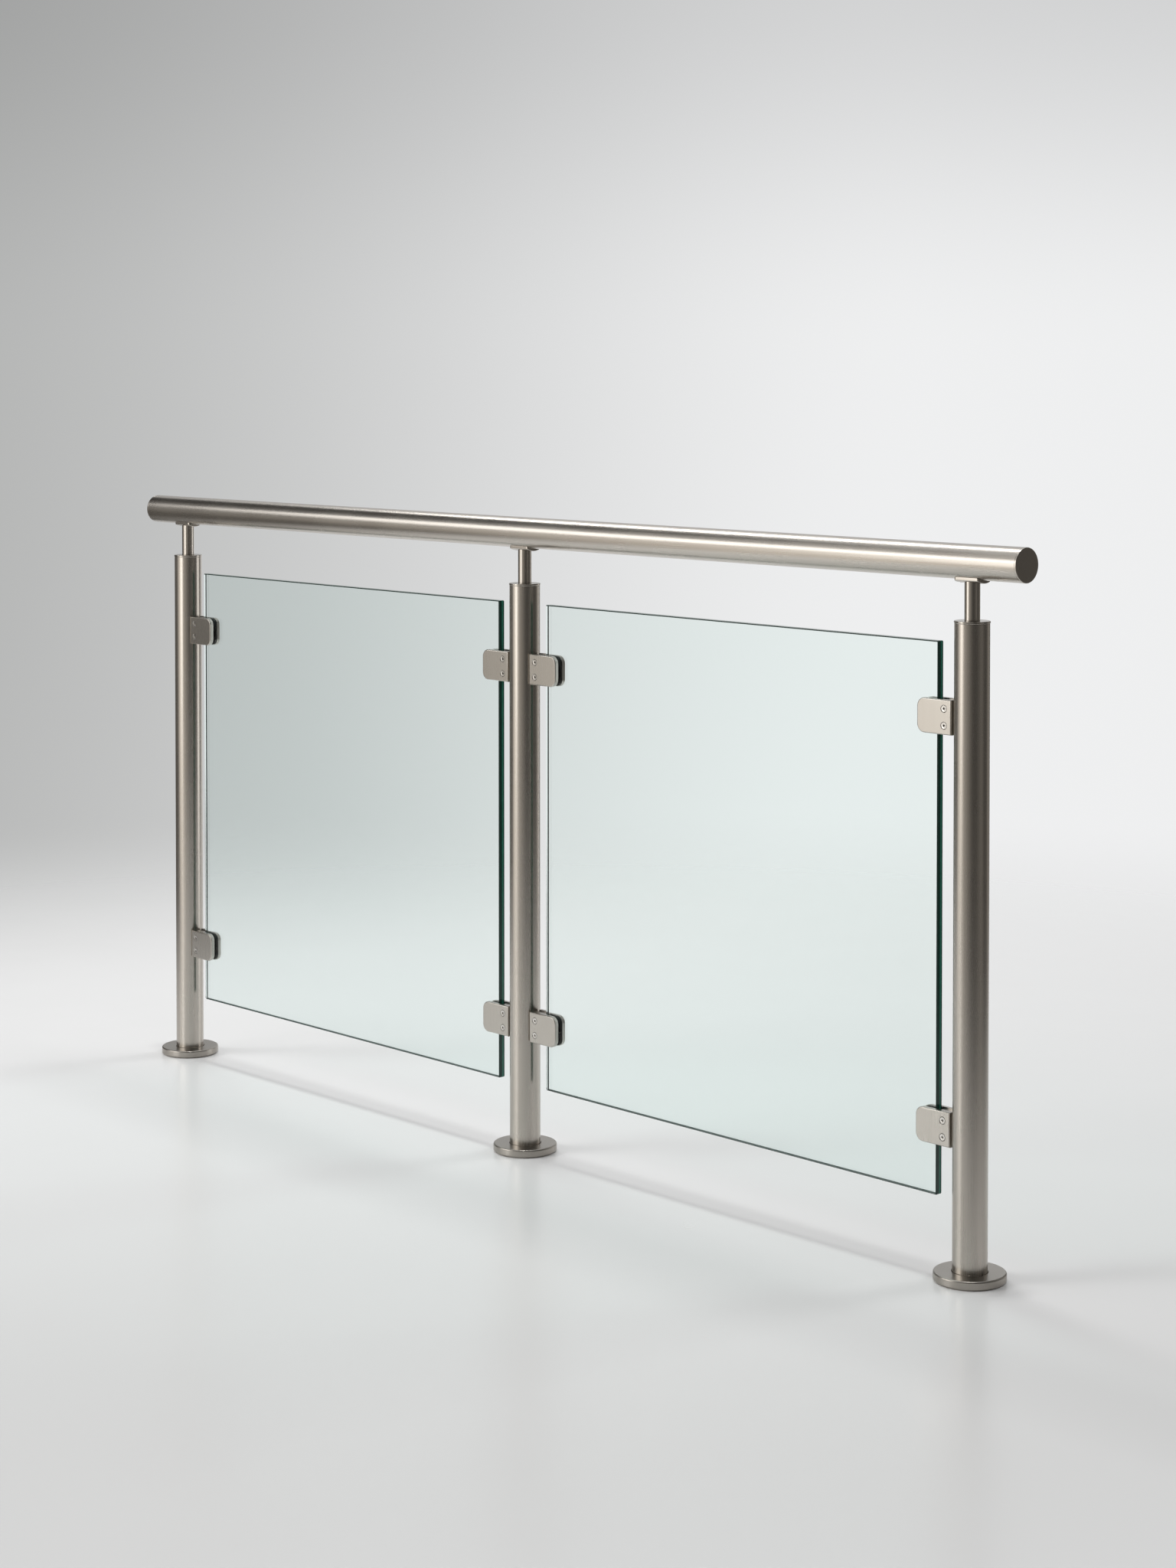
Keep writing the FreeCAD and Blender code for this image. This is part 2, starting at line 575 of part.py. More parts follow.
def countersunk_screw(name, diameter, head, length, socket):
    """A countersunk screw, its flat head at the local origin and its tip below."""
    screw = new_body(name)
    sink = f"(({head} - {diameter}) / 2)"
    section = new_sketch(screw, "section", "XZ_Plane")
    draw_outline(section, [
        ("0", "0"), (f"{head} / 2", "0"), (f"{diameter} / 2", f"-{sink}"),
        (f"{diameter} / 2", f"-({length})"), ("0", f"-({length})"),
    ])
    turn(screw, "shank", section)
    cut_socket(screw, socket, "0", f"{sink} * 4 / 5")
    return screw


def cylinder_head_screw(name):
    """A clamp's fixing screw, the underside of its head at the local origin."""
    screw = new_body(name)
    head = "fixing_screw_head / 2"
    shank = "fixing_screw_diameter / 2"
    tip = f"-({FIXING_SCREW_SEAT} - {NUT_SEAT} + nut_length + thread_gap)"
    section = new_sketch(screw, "section", "XZ_Plane")
    draw_outline(section, [
        ("0", tip), (shank, tip), (shank, "0"),
        (head, "0"), (head, "fixing_screw_head_height"), ("0", "fixing_screw_head_height"),
    ])
    turn(screw, "shank", section)
    cut_socket(screw, "fixing_screw_socket", "fixing_screw_head_height", "fixing_screw_head_height / 2")
    return screw


def rivet_nut(name):
    """A rivet nut set in a post's wall, the underside of its flange at the local origin."""
    nut = new_body(name)
    bore = "fixing_screw_diameter / 2 + thread_gap"
    sleeve = "nut_diameter / 2"
    flange = "nut_flange / 2"
    wall_depth = f"{POST_RADIUS} - sqrt(({POST_RADIUS} - post_wall)^2 - ({flange})^2)"
    collar_top = f"-({wall_depth} + 2 * thread_gap)"
    collar_foot = f"{collar_top} - nut_collar_length"
    section = new_sketch(nut, "section", "XZ_Plane")
    draw_outline(section, [
        (bore, "-nut_length"), (sleeve, "-nut_length"), (sleeve, collar_foot), (flange, collar_foot),
        (flange, collar_top), (sleeve, collar_top), (sleeve, "0"), (flange, "0"),
        (flange, "nut_flange_thickness"), (bore, "nut_flange_thickness"),
    ])
    turn(nut, "sleeve", section)
    return nut


def place_copies(label, pattern, places):
    """Identical fasteners as one piece: a copy of the pattern at each rotation and place."""
    copies = []
    for number, (rotation, *place) in enumerate(places, 1):
        copy = doc.addObject("App::Link", f"{label}_{number}")
        copy.LinkedObject = pattern
        copy.Placement = FreeCAD.Placement(FreeCAD.Vector(), rotation)
        bind_place(copy, "Placement", *place)
        copies.append(copy)
    group = doc.addObject("Part::Compound", label)
    group.Label = label
    group.Links = copies
    pieces.append(group)


def reach(x, turned, distance):
    """A place at a distance from a post's axis, on the side that the clamp reaches to."""
    return f"{x} - {distance}" if turned else f"{x} + {distance}"


for place, x in POSTS.items():
    make_base_plate(place, x)
    make_post(place, x)
    make_base_cover(place, x)
    make_post_cap(place, x)
    make_rail_stem(place, x)
    make_rail_saddle(place, x)

make_handrail()
tube_end = "(post_spacing + rail_overhang - rail_cap_face)"
make_rail_end_cap("left", f"-{tube_end}", TURNED_ROUND)
make_rail_end_cap("right", tube_end, AS_DRAWN)

for place, x in PANES.items():
    make_pane(place, x)

for name, x, z, turned in CLAMPS:
    rotation = TURNED_OVER if turned else AS_DRAWN
    make_clamp_body(name, x, z, rotation)
    make_clamp_cover(name, x, z, rotation)
    make_clamp_pad("front", name, x, z, rotation)
    make_clamp_pad("back", name, x, z, rotation)

cover_screw = countersunk_screw(
    "clamp_cover_screw", "cover_screw_diameter", "cover_screw_head",
    "cover_screw_length", "cover_screw_socket")
place_copies("clamp_cover_screws", cover_screw, [
    (HEAD_TO_FRONT, reach(x, turned, COVER_SCREW_PLACE), f"-{CLAMP_FACE}",
     f"{z} {step} cover_screw_spacing / 2")
    for name, x, z, turned in CLAMPS
    for step in "-+"
])
place_copies("clamp_fixing_screws", cylinder_head_screw("clamp_fixing_screw"), [
    ((TURNED_OVER if turned else AS_DRAWN) * HEAD_TO_GLASS, reach(x, turned, FIXING_SCREW_SEAT), "0", z)
    for name, x, z, turned in CLAMPS
])
place_copies("rivet_nuts", rivet_nut("rivet_nut"), [
    ((TURNED_OVER if turned else AS_DRAWN) * HEAD_TO_GLASS, reach(x, turned, NUT_SEAT), "0", z)
    for name, x, z, turned in CLAMPS
])
rail_screw = countersunk_screw(
    "rail_screw", "rail_screw_diameter", "rail_screw_head",
    "saddle_thickness + rail_seat_gap + rail_wall + screw_tip", "rail_screw_socket")
place_copies("rail_screws", rail_screw, [
    (HEAD_DOWN, f"{x} {step} {RAIL_SCREW_PLACE}", "0", f"{RAIL_AXIS} - {SADDLE_RADIUS}")
    for x in POSTS.values()
    for step in "-+"
])
stem_screw = countersunk_screw(
    "stem_screw", "stem_screw_diameter", "stem_screw_head", "stem_screw_length", "stem_screw_socket")
place_copies("stem_screws", stem_screw, [
    (AS_DRAWN, x, "0", f"{RAIL_AXIS} - {SEAT_RADIUS}") for x in POSTS.values()
])

doc.recompute()
for thing in doc.Objects:
    if {"Invalid", "Error"} & set(thing.State):
        raise RuntimeError(f"{thing.Label} failed: {thing.State}")
    cuts = thing.TypeId == "PartDesign::Pocket" or thing.TypeId.startswith("PartDesign::Subtractive")
    if cuts and thing.Shape.Volume > thing.BaseFeature.Shape.Volume - TOLERANCE:
        raise RuntimeError(f"{thing.Label} cuts nothing")
for piece in pieces:
    if piece.Shape.isNull() or not piece.Shape.isValid() or not piece.Shape.Solids:
        raise RuntimeError(f"{piece.Label} has no valid solid")

os.makedirs("parts", exist_ok=True)
for piece in pieces:
    piece.Shape.exportStep(f"parts/{piece.Label}.step")
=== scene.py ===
from math import cos, hypot, pi, radians, sin, sqrt, tau

import bmesh
import bpy
from mathutils import Matrix, Vector


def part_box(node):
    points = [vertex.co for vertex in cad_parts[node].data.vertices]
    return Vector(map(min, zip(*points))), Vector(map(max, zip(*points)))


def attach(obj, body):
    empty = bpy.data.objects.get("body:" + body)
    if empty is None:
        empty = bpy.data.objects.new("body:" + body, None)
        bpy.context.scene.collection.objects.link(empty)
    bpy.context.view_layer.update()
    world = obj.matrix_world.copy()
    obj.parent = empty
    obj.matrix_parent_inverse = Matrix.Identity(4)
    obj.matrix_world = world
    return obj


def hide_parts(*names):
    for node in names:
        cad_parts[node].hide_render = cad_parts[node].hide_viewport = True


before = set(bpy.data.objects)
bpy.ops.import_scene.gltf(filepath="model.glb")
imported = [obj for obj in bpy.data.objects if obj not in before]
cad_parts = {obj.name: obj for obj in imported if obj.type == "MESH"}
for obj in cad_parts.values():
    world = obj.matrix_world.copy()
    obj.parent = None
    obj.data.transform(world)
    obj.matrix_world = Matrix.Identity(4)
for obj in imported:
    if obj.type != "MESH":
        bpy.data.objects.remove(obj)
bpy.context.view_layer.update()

# Base plates: three laser-cut discs of 6 mm stainless plate, welded under the posts and drilled for
# the floor anchors. They lie hidden under the floor covers, so the mill's dull rolled skin is left on.
MM = 0.001
POSTS = ("left", "middle", "right")
PLATE_COLOUR = (0.50, 0.48, 0.45)
PLATE_ROUGHNESS = 0.46
ROLLED_SKIN = (60, 700, 700)
LINE_STOPS = (0.3, 0.7)
LINE_SHADES = (0.97, 1.02)
LINE_DULLNESS = 0.04
LINE_RELIEF = 0.015
LINE_DEPTH = 0.1 * MM
DRIFT_SCALE = 9
DRIFT_REACH = (0.35, 0.65)
DRIFT_POLISH = (-0.03, -0.01)


def set_sockets(tree, node, sockets):
    """Set a shader node's sockets, or link them to others."""
    for socket, source in sockets.items():
        if isinstance(source, bpy.types.NodeSocket):
            tree.links.new(source, node.inputs[socket])
        else:
            node.inputs[socket].default_value = source


def add_node(tree, kind, sockets, **settings):
    """A shader node with its settings made and its sockets set or linked."""
    node = tree.nodes.new(f"ShaderNode{kind}")
    for setting, choice in settings.items():
        setattr(node, setting, choice)
    set_sockets(tree, node, sockets)
    return node


def add_noise(tree, place, scale, detail, roughness=0.5):
    """Cloudy noise over a piece, between 0 and 1."""
    return add_node(tree, "TexNoise", {
        "Vector": place, "Scale": scale, "Detail": detail, "Roughness": roughness}).outputs[0]


def add_range(tree, value, reach, result, way="LINEAR"):
    """A value mapped from its own reach to a result's."""
    return add_node(tree, "MapRange", {
        "Value": value, "From Min": reach[0], "From Max": reach[1],
        "To Min": result[0], "To Max": result[1]}, interpolation_type=way).outputs[0]


def add_ramp(tree, share, positions, colours):
    """A ramp of colours, read at a share of its length."""
    ramp = add_node(tree, "ValToRGB", {"Fac": share})
    stops = ramp.color_ramp.elements
    while len(stops) < len(colours):
        stops.new(1)
    for stop, position, colour in zip(stops, positions, colours):
        stop.position = position
        stop.color = colour
    return ramp.outputs["Color"]


def new_finish(name):
    """A new material, with its node tree, its shader and the place of each point on the piece."""
    finish = bpy.data.materials.new(name)
    finish.use_nodes = True
    tree = finish.node_tree
    place = add_node(tree, "TexCoord", {}).outputs["Object"]
    return finish, tree, tree.nodes["Principled BSDF"], place


def shade_of(colour, share):
    """A colour made darker or lighter, with full opacity."""
    return (*(channel * share for channel in colour), 1)


def ground_steel(name, colour, roughness, grain, lathe=False):
    """Ground stainless steel: fine lines that follow the grain, over a slow drift in the polish."""
    finish, tree, shader, place = new_finish(name)
    pattern = add_node(tree, "UVMap", {}, uv_map="lathe").outputs["UV"] if lathe else place
    stretched = add_node(tree, "Mapping", {"Vector": pattern, "Scale": grain})
    lines = add_noise(tree, stretched.outputs["Vector"], scale=1, detail=3, roughness=0.6)
    drift = add_noise(tree, place, DRIFT_SCALE, detail=2)
    polish = add_range(tree, drift, DRIFT_REACH, [roughness + change for change in DRIFT_POLISH])
    dullness = add_node(tree, "Math", {0: lines, 1: LINE_DULLNESS, 2: polish}, operation="MULTIPLY_ADD")
    relief = add_node(tree, "Bump", {"Height": lines, "Strength": LINE_RELIEF, "Distance": LINE_DEPTH})
    shades = [shade_of(colour, share) for share in LINE_SHADES]
    set_sockets(tree, shader, {
        "Base Color": add_ramp(tree, lines, LINE_STOPS, shades), "Metallic": 1,
        "Roughness": dullness.outputs[0], "Normal": relief.outputs["Normal"]})
    return finish


plate_finish = ground_steel("rolled_plate_steel", PLATE_COLOUR, PLATE_ROUGHNESS, ROLLED_SKIN)
for place in POSTS:
    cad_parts[f"base_plate_{place}"].material_slots[0].material = plate_finish

# Posts: three lengths of drawn stainless tube, 48.3 mm by 2 mm, sawn square, with the sharp edge taken
# off both ends. They are belt-ground lengthwise to a satin finish, drilled for the rivet nuts that hold
# the clamps, and stand welded on the base plates.
POST_WALL = 2 * MM
POST_END_ROUNDING = 0.6 * MM
NUT_BORE = 5.6 * MM
BORE_SURROUND = 9 * MM
TUBE_COLOUR = (0.52, 0.485, 0.44)
TUBE_ROUGHNESS = 0.27
GRAIN_UPRIGHT = (1300, 1300, 5)
LATHE_STEPS = 96
BORE_STEPS = 48
SHARP = radians(30)
MERGE_REACH = MM / 1000
CLAMPS = {
    f"{place}_{level}": (post, turned_over)
    for place, post, turned_over in (
        ("left", "left", False), ("middle_left", "middle", True),
        ("middle_right", "middle", False), ("right", "right", True))
    for level in ("lower", "upper")
}


def turned(section, closed=True):
    """A lathe piece about the upright axis, from the (radius, height) corners of its half section."""
    shape = bmesh.new()
    corners = [shape.verts.new((radius, 0, height)) for radius, height in section]
    ends = corners[1:] + corners[:1] if closed else corners[1:]
    sides = [shape.edges.new(pair) for pair in zip(corners, ends)]
    bmesh.ops.spin(shape, geom=corners + sides, cent=(0, 0, 0), axis=(0, 0, 1), dvec=(0, 0, 0),
                   angle=tau, steps=LATHE_STEPS, use_merge=True)
    bmesh.ops.remove_doubles(shape, verts=shape.verts, dist=MERGE_REACH)
    bmesh.ops.recalc_face_normals(shape, faces=shape.faces)
    return shape


def round_over(shape, width, wanted=None, steps=4):
    """Round the sharp edges over, all of them or those whose two ends pass a test."""
    edges = [edge for edge in shape.edges
             if edge.is_manifold and edge.calc_face_angle() > SHARP
             and (wanted is None or all(wanted(end.co) for end in edge.verts))]
    bmesh.ops.bevel(shape, geom=edges, offset=width, offset_type="OFFSET", affect="EDGES",
                    segments=steps, profile=0.5, material=-1)


def moved(shape, move):
    """A copy of a shape, moved by a matrix."""
    copy = shape.copy()
    copy.transform(move)
    return copy


def add_object(name, data):
    """An object of the scene, from a mesh, a lamp or a camera."""
    thing = bpy.data.objects.new(name, data)
    bpy.context.scene.collection.objects.link(thing)
    return thing


def add_shape(name, shape):
    """An object of the scene, from a shape, which is used up."""
    mesh = bpy.data.meshes.new(name)
    shape.to_mesh(mesh)
    shape.free()
    return add_object(name, mesh)


def joined(shape, other, how):
    """The shape with another taken away from it or added to it; both are used up."""
    block = add_shape("blank", shape)
    tool = add_shape("tool", other)
    cut = block.modifiers.new("cut", "BOOLEAN")
    cut.operation = how
    cut.object = tool
    result = bmesh.new()
    result.from_object(block, bpy.context.evaluated_depsgraph_get())
    for mesh in (block.data, tool.data):
        bpy.data.meshes.remove(mesh)
    return result


def bar_along(radius, start, end):
    """A round bar along the panel, as a cutter for a bore."""
    shape = bmesh.new()
    bmesh.ops.create_cone(shape, cap_ends=True, segments=BORE_STEPS, radius1=radius, radius2=radius,
                          depth=end - start)
    shape.transform(Matrix.Translation(((start + end) / 2, 0, 0)) @ Matrix.Rotation(pi / 2, 4, "Y"))
    return shape


def clamp_place(name):
    """The move that takes a clamp's piece from beside the origin to its post."""
    post, turned_over = CLAMPS[name]
    low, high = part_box(f"clamp_body_{name}")
    turn = Matrix.Rotation(pi, 4, "Y") if turned_over else Matrix.Identity(4)
    return Matrix.Translation((post_axis[post], 0, (low.z + high.z) / 2)) @ turn


def add_piece(name, shape, slot, nodes, *finishes):
    """A finished piece in its place: shaded, riding on the panel and standing for its CAD nodes."""
    bmesh.ops.remove_doubles(shape, verts=shape.verts, dist=MERGE_REACH)
    piece = add_shape(name, shape)
    piece.data.shade_smooth()
    piece.data.set_sharp_from_angle(angle=SHARP)
    for finish in finishes:
        piece.data.materials.append(finish)
    shading = piece.modifiers.new("flat faces stay flat", "WEIGHTED_NORMAL")
    shading.keep_sharp = True
    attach(piece, "root")
    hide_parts(*nodes)
    return piece


post_low, post_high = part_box("post_middle")
post_radius = (post_high.x - post_low.x) / 2
post_axis = {}
for place in POSTS:
    low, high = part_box(f"post_{place}")
    post_axis[place] = (low.x + high.x) / 2
bore_levels = [clamp_place(f"right_{level}").translation.z for level in ("lower", "upper")]
rings = [level + side * BORE_SURROUND for level in bore_levels for side in (-1, 1)]
wall_levels = [post_low.z, *rings, post_high.z]
post = turned([(post_radius, z) for z in wall_levels]
              + [(post_radius - POST_WALL, z) for z in reversed(wall_levels)])
round_over(post, POST_END_ROUNDING, steps=3)
tube_finish = ground_steel("satin_tube_upright", TUBE_COLOUR, TUBE_ROUGHNESS, GRAIN_UPRIGHT)
for place in POSTS:
    tube = moved(post, Matrix.Translation((post_axis[place], 0, 0)))
    for name, (clamped_post, _) in CLAMPS.items():
        if clamped_post == place:
            bore = bar_along(NUT_BORE, 0, 2 * post_radius)
            bore.transform(clamp_place(name))
            tube = joined(tube, bore, "DIFFERENCE")
    add_piece(f"post_tube_{place}", tube, "tube_steel", [f"post_{place}"], tube_finish)
post.free()

# Floor covers: three dishes pressed from 1.5 mm stainless sheet and polished on a lathe, with the foot
# curled in a little. Each slides down its post to the floor and hides the base plate and the anchors;
# nothing else holds it.
COVER_SHEET = 1.5 * MM
COVER_OUTER_FOLD = 2.5 * MM
COVER_INNER_FOLD = 1 * MM
COVER_HOLE_LIP = 1.4 * MM
COVER_CURL = 2 * MM
COVER_CURL_HEIGHT = 2.4 * MM
COVER_FOOT_ROUNDING = 0.8 * MM
COVER_HOLE_GAP = 0.5 * MM
# The covers' colour is darker than the other fittings' steel: painted shade, for the darker reflections
# they show.
COVER_SHADED_COLOUR = (0.40, 0.375, 0.34)
COVER_ROUGHNESS = 0.30
LATHE_LINES = (2600, 2600, 1)
TOUCH = MM / 100


def ring_at(radius, height):
    """A test for the ring of a lathe piece at a radius and a height."""
    return lambda co: abs(hypot(co.x, co.y) - radius) < TOUCH and abs(co.z - height) < TOUCH


def mark_lathe(shape):
    """A UV map of a lathe piece, radius and height, for the rings that the tool leaves on it."""
    lathe = shape.loops.layers.uv.new("lathe")
    for face in shape.faces:
        for loop in face.loops:
            co = loop.vert.co
            loop[lathe].uv = (hypot(co.x, co.y), co.z)


def add_at_posts(shape, name, node, finish):
    """A fitting on each of the three posts, all of one shape, which is used up."""
    for place in POSTS:
        fitting = moved(shape, Matrix.Translation((post_axis[place], 0, 0)))
        add_piece(f"{name}_{place}", fitting, "fitting_steel", [f"{node}_{place}"], finish)
    shape.free()


cover_low, cover_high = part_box("base_cover_middle")
cover_radius = (cover_high.x - cover_low.x) / 2
cover_hole = post_radius + COVER_HOLE_GAP
cover_inside = cover_radius - COVER_SHEET
cover_ceiling = cover_high.z - COVER_SHEET
curl_top = cover_low.z + COVER_CURL_HEIGHT
cover = turned([
    (cover_hole, cover_ceiling), (cover_inside, cover_ceiling), (cover_inside, curl_top),
    (cover_inside - COVER_CURL, cover_low.z), (cover_radius - COVER_CURL, cover_low.z),
    (cover_radius, curl_top), (cover_radius, cover_high.z), (cover_hole, cover_high.z)])
round_over(cover, COVER_OUTER_FOLD, ring_at(cover_radius, cover_high.z), steps=6)
round_over(cover, COVER_INNER_FOLD, ring_at(cover_inside, cover_ceiling))
round_over(cover, COVER_HOLE_LIP, ring_at(cover_hole, cover_high.z))
round_over(cover, COVER_FOOT_ROUNDING, ring_at(cover_radius, curl_top), steps=3)
mark_lathe(cover)
cover_finish = ground_steel(
    "polished_cover_steel", COVER_SHADED_COLOUR, COVER_ROUGHNESS, LATHE_LINES, lathe=True)
add_at_posts(cover, "floor_cover", "base_cover", cover_finish)

# Rivet nuts and fixing screws: eight of each, turned stainless steel, bright from the machine. The nuts
# are squeezed into holes in the post walls, and the cylinder-head screws hold the clamp bodies to them.
HARDWARE_COLOUR = (0.60, 0.59, 0.57)
HARDWARE_ROUGHNESS = 0.30
CUT_MARKS = (900, 900, 900)
hardware_finish = ground_steel("bright_hardware_steel", HARDWARE_COLOUR, HARDWARE_ROUGHNESS, CUT_MARKS)
for node in ("rivet_nuts", "clamp_fixing_screws"):
    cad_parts[node].material_slots[0].material = hardware_finish

# Clamp bodies: eight stainless castings, each a back plate and the web that stands on the post in one.
# The plate's face is ground with upright lines, its two corners on the pane are round, and the web is
# hollowed to the post, bored for the fixing screw and tapped for the cover's two screws.
CLAMP_PLATE = 6.5 * MM
CLAMP_POST_GAP = 1 * MM
CLAMP_CORNER = 12 * MM
CLAMP_CORNER_STEPS = 10
CLAMP_EDGE = 1.8 * MM
CLAMP_SEAT_GAP = 0.2 * MM
WEB_INSET = 2 * MM
WEB_END = 51.15 * MM
WEB_EDGE = 0.5 * MM
WEB_FOOT_STEPS = 16
FIXING_BORE = 4.1 * MM
FIXING_HEAD_BORE = 6.6 * MM
FIXING_HEAD_SEAT = 45.65 * MM
FLANGE_SEAT = 25.55 * MM
COVER_SCREW_INSET = 12.5 * MM
COVER_SCREW_SPACING = 23 * MM
COVER_SCREW_BORE = 2.6 * MM
COVER_SCREW_SINK = 5.5 * MM
COVER_SCREW_DEPTH = 16.1 * MM
CLAMP_COLOUR = (0.50, 0.475, 0.437)
CLAMP_ROUGHNESS = 0.28
CLAMP_GRAIN = (1300, 1300, 12)


def upright_plate(left, right, height, front, back, corner):
    """A plate on edge across the panel, with the two corners at its right end rounded."""
    shape = bmesh.new()
    bmesh.ops.create_grid(shape, x_segments=1, y_segments=1, size=0.5)
    shape.transform(
        Matrix.Translation(((left + right) / 2, front, 0))
        @ Matrix.Rotation(pi / 2, 4, "X")
        @ Matrix.Diagonal((right - left, height, 1, 1)))
    ends = [vert for vert in shape.verts if vert.co.x > (left + right) / 2]
    bmesh.ops.bevel(shape, geom=ends, offset=corner, offset_type="OFFSET", affect="VERTICES",
                    segments=CLAMP_CORNER_STEPS, profile=0.5, material=-1)
    raised = bmesh.ops.extrude_face_region(shape, geom=shape.faces[:])["geom"]
    rim = [item for item in raised if isinstance(item, bmesh.types.BMVert)]
    bmesh.ops.translate(shape, verts=rim, vec=(0, back - front, 0))
    bmesh.ops.recalc_face_normals(shape, faces=shape.faces)
    return shape


def screw_hole(bore, sink, depth):
    """A cutter for a countersunk screw, its head's face at the origin and its shank below."""
    return turned([(0, -depth), (bore, -depth), (bore, bore - sink), (sink, 0), (sink, MM), (0, MM)],
                  closed=False)


def drilled(plate):
    """A clamp's body or cover with the holes for its two cover screws."""
    for screw_place in screw_places:
        hole = screw_hole(COVER_SCREW_BORE, COVER_SCREW_SINK, COVER_SCREW_DEPTH)
        hole.transform(screw_place)
        plate = joined(plate, hole, "DIFFERENCE")
    return plate


def add_at_clamps(shape, name, slot, node, finish):
    """A piece of each of the eight clamps, all of one shape, which is used up."""
    for place in CLAMPS:
        add_piece(f"{name}_{place}", moved(shape, clamp_place(place)), slot, [f"{node}_{place}"], finish)
    shape.free()


body_low, body_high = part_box("clamp_body_middle_right_lower")
clamp_height = body_high.z - body_low.z
clamp_start = post_radius + CLAMP_POST_GAP
clamp_end = body_high.x
clamp_face = body_high.y
jaw = clamp_face - CLAMP_PLATE
clamp_body = upright_plate(clamp_start, clamp_end, clamp_height, jaw, clamp_face, CLAMP_CORNER)
round_over(clamp_body, CLAMP_EDGE, lambda co: co.y > clamp_face - TOUCH)

foot_x = sqrt((post_radius + CLAMP_SEAT_GAP) ** 2 - jaw ** 2)
foot_turn = 2 * Vector((foot_x, jaw)).angle_signed(Vector((1, 0)))
web_foot = WEB_INSET - clamp_height / 2
web = bmesh.new()
foot_start = web.verts.new((foot_x, -jaw, web_foot))
bmesh.ops.spin(web, geom=[foot_start], cent=(0, 0, 0), axis=(0, 0, 1), dvec=(0, 0, 0),
               angle=foot_turn, steps=WEB_FOOT_STEPS, use_merge=False)
foot_end = max(web.verts, key=lambda vert: vert.co.y)
back_corner = web.verts.new((WEB_END, jaw, web_foot))
front_corner = web.verts.new((WEB_END, -jaw, web_foot))
for pair in ((foot_end, back_corner), (back_corner, front_corner), (front_corner, foot_start)):
    web.edges.new(pair)
bmesh.ops.contextual_create(web, geom=web.verts[:] + web.edges[:])
raised = bmesh.ops.extrude_face_region(web, geom=web.faces[:])["geom"]
web_top = [item for item in raised if isinstance(item, bmesh.types.BMVert)]
bmesh.ops.translate(web, verts=web_top, vec=(0, 0, clamp_height - 2 * WEB_INSET))
bmesh.ops.recalc_face_normals(web, faces=web.faces)
round_over(web, WEB_EDGE, lambda co: co.x > WEB_END - TOUCH, steps=2)
clamp_body = joined(clamp_body, web, "UNION")

fixing_bores = ((FIXING_BORE, 0, clamp_end), (FIXING_HEAD_BORE, FIXING_HEAD_SEAT, clamp_end),
                (FIXING_HEAD_BORE, 0, FLANGE_SEAT))
for bore in fixing_bores:
    clamp_body = joined(clamp_body, bar_along(*bore), "DIFFERENCE")
to_front = Matrix.Rotation(pi / 2, 4, "X")
screw_x = clamp_start + COVER_SCREW_INSET
screw_places = [
    Matrix.Translation((screw_x, -clamp_face, side * COVER_SCREW_SPACING / 2)) @ to_front
    for side in (-1, 1)]
clamp_body = drilled(clamp_body)
clamp_finish = ground_steel("ground_clamp_steel", CLAMP_COLOUR, CLAMP_ROUGHNESS, CLAMP_GRAIN)
add_at_clamps(clamp_body, "clamp_back", "clamp_steel", "clamp_body", clamp_finish)

# Rubber pads: sixteen black pads, die-cut from 1.5 mm sheet rubber, one on each side of the pane in
# every clamp. The clamp's screws squeeze them, and their matt edge shows between plate and glass.
PAD_INSET = 1 * MM
PAD_EDGE = 0.3 * MM
RUBBER_COLOUR = (0.012, 0.012, 0.012)
RUBBER_ROUGHNESS = (0.52, 0.72)
RUBBER_GRAIN = 1800
RUBBER_RELIEF = 0.3
RUBBER_DEPTH = 0.1 * MM
DUST_SCALE = 120
DUST_STOPS = (0.45, 0.8)
DUST_SHADES = (1.0, 2.2)


def sheet_rubber(name, colour, roughness):
    """Black sheet rubber: a dull skin with a fine grain and a little dust."""
    finish, tree, shader, place = new_finish(name)
    grain = add_noise(tree, place, RUBBER_GRAIN, detail=3)
    dust = add_noise(tree, place, DUST_SCALE, detail=4)
    shades = [shade_of(colour, share) for share in DUST_SHADES]
    relief = add_node(tree, "Bump", {
        "Height": grain, "Strength": RUBBER_RELIEF, "Distance": RUBBER_DEPTH})
    set_sockets(tree, shader, {
        "Base Color": add_ramp(tree, dust, DUST_STOPS, shades),
        "Roughness": add_range(tree, grain, (0, 1), roughness), "Normal": relief.outputs["Normal"]})
    return finish


glass_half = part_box("glass_right")[1].y
rubber_finish = sheet_rubber("black_sheet_rubber", RUBBER_COLOUR, RUBBER_ROUGHNESS)
pad_place = {"front": (-jaw, -glass_half), "back": (glass_half, jaw)}
for side, (pad_front, pad_back) in pad_place.items():
    pad = upright_plate(WEB_END + PAD_INSET, clamp_end - PAD_INSET, clamp_height - 2 * PAD_INSET,
                        pad_front, pad_back, CLAMP_CORNER - PAD_INSET)
    round_over(pad, PAD_EDGE, steps=2)
    add_at_clamps(pad, f"rubber_pad_{side}", "pad_rubber", f"clamp_pad_{side}", rubber_finish)

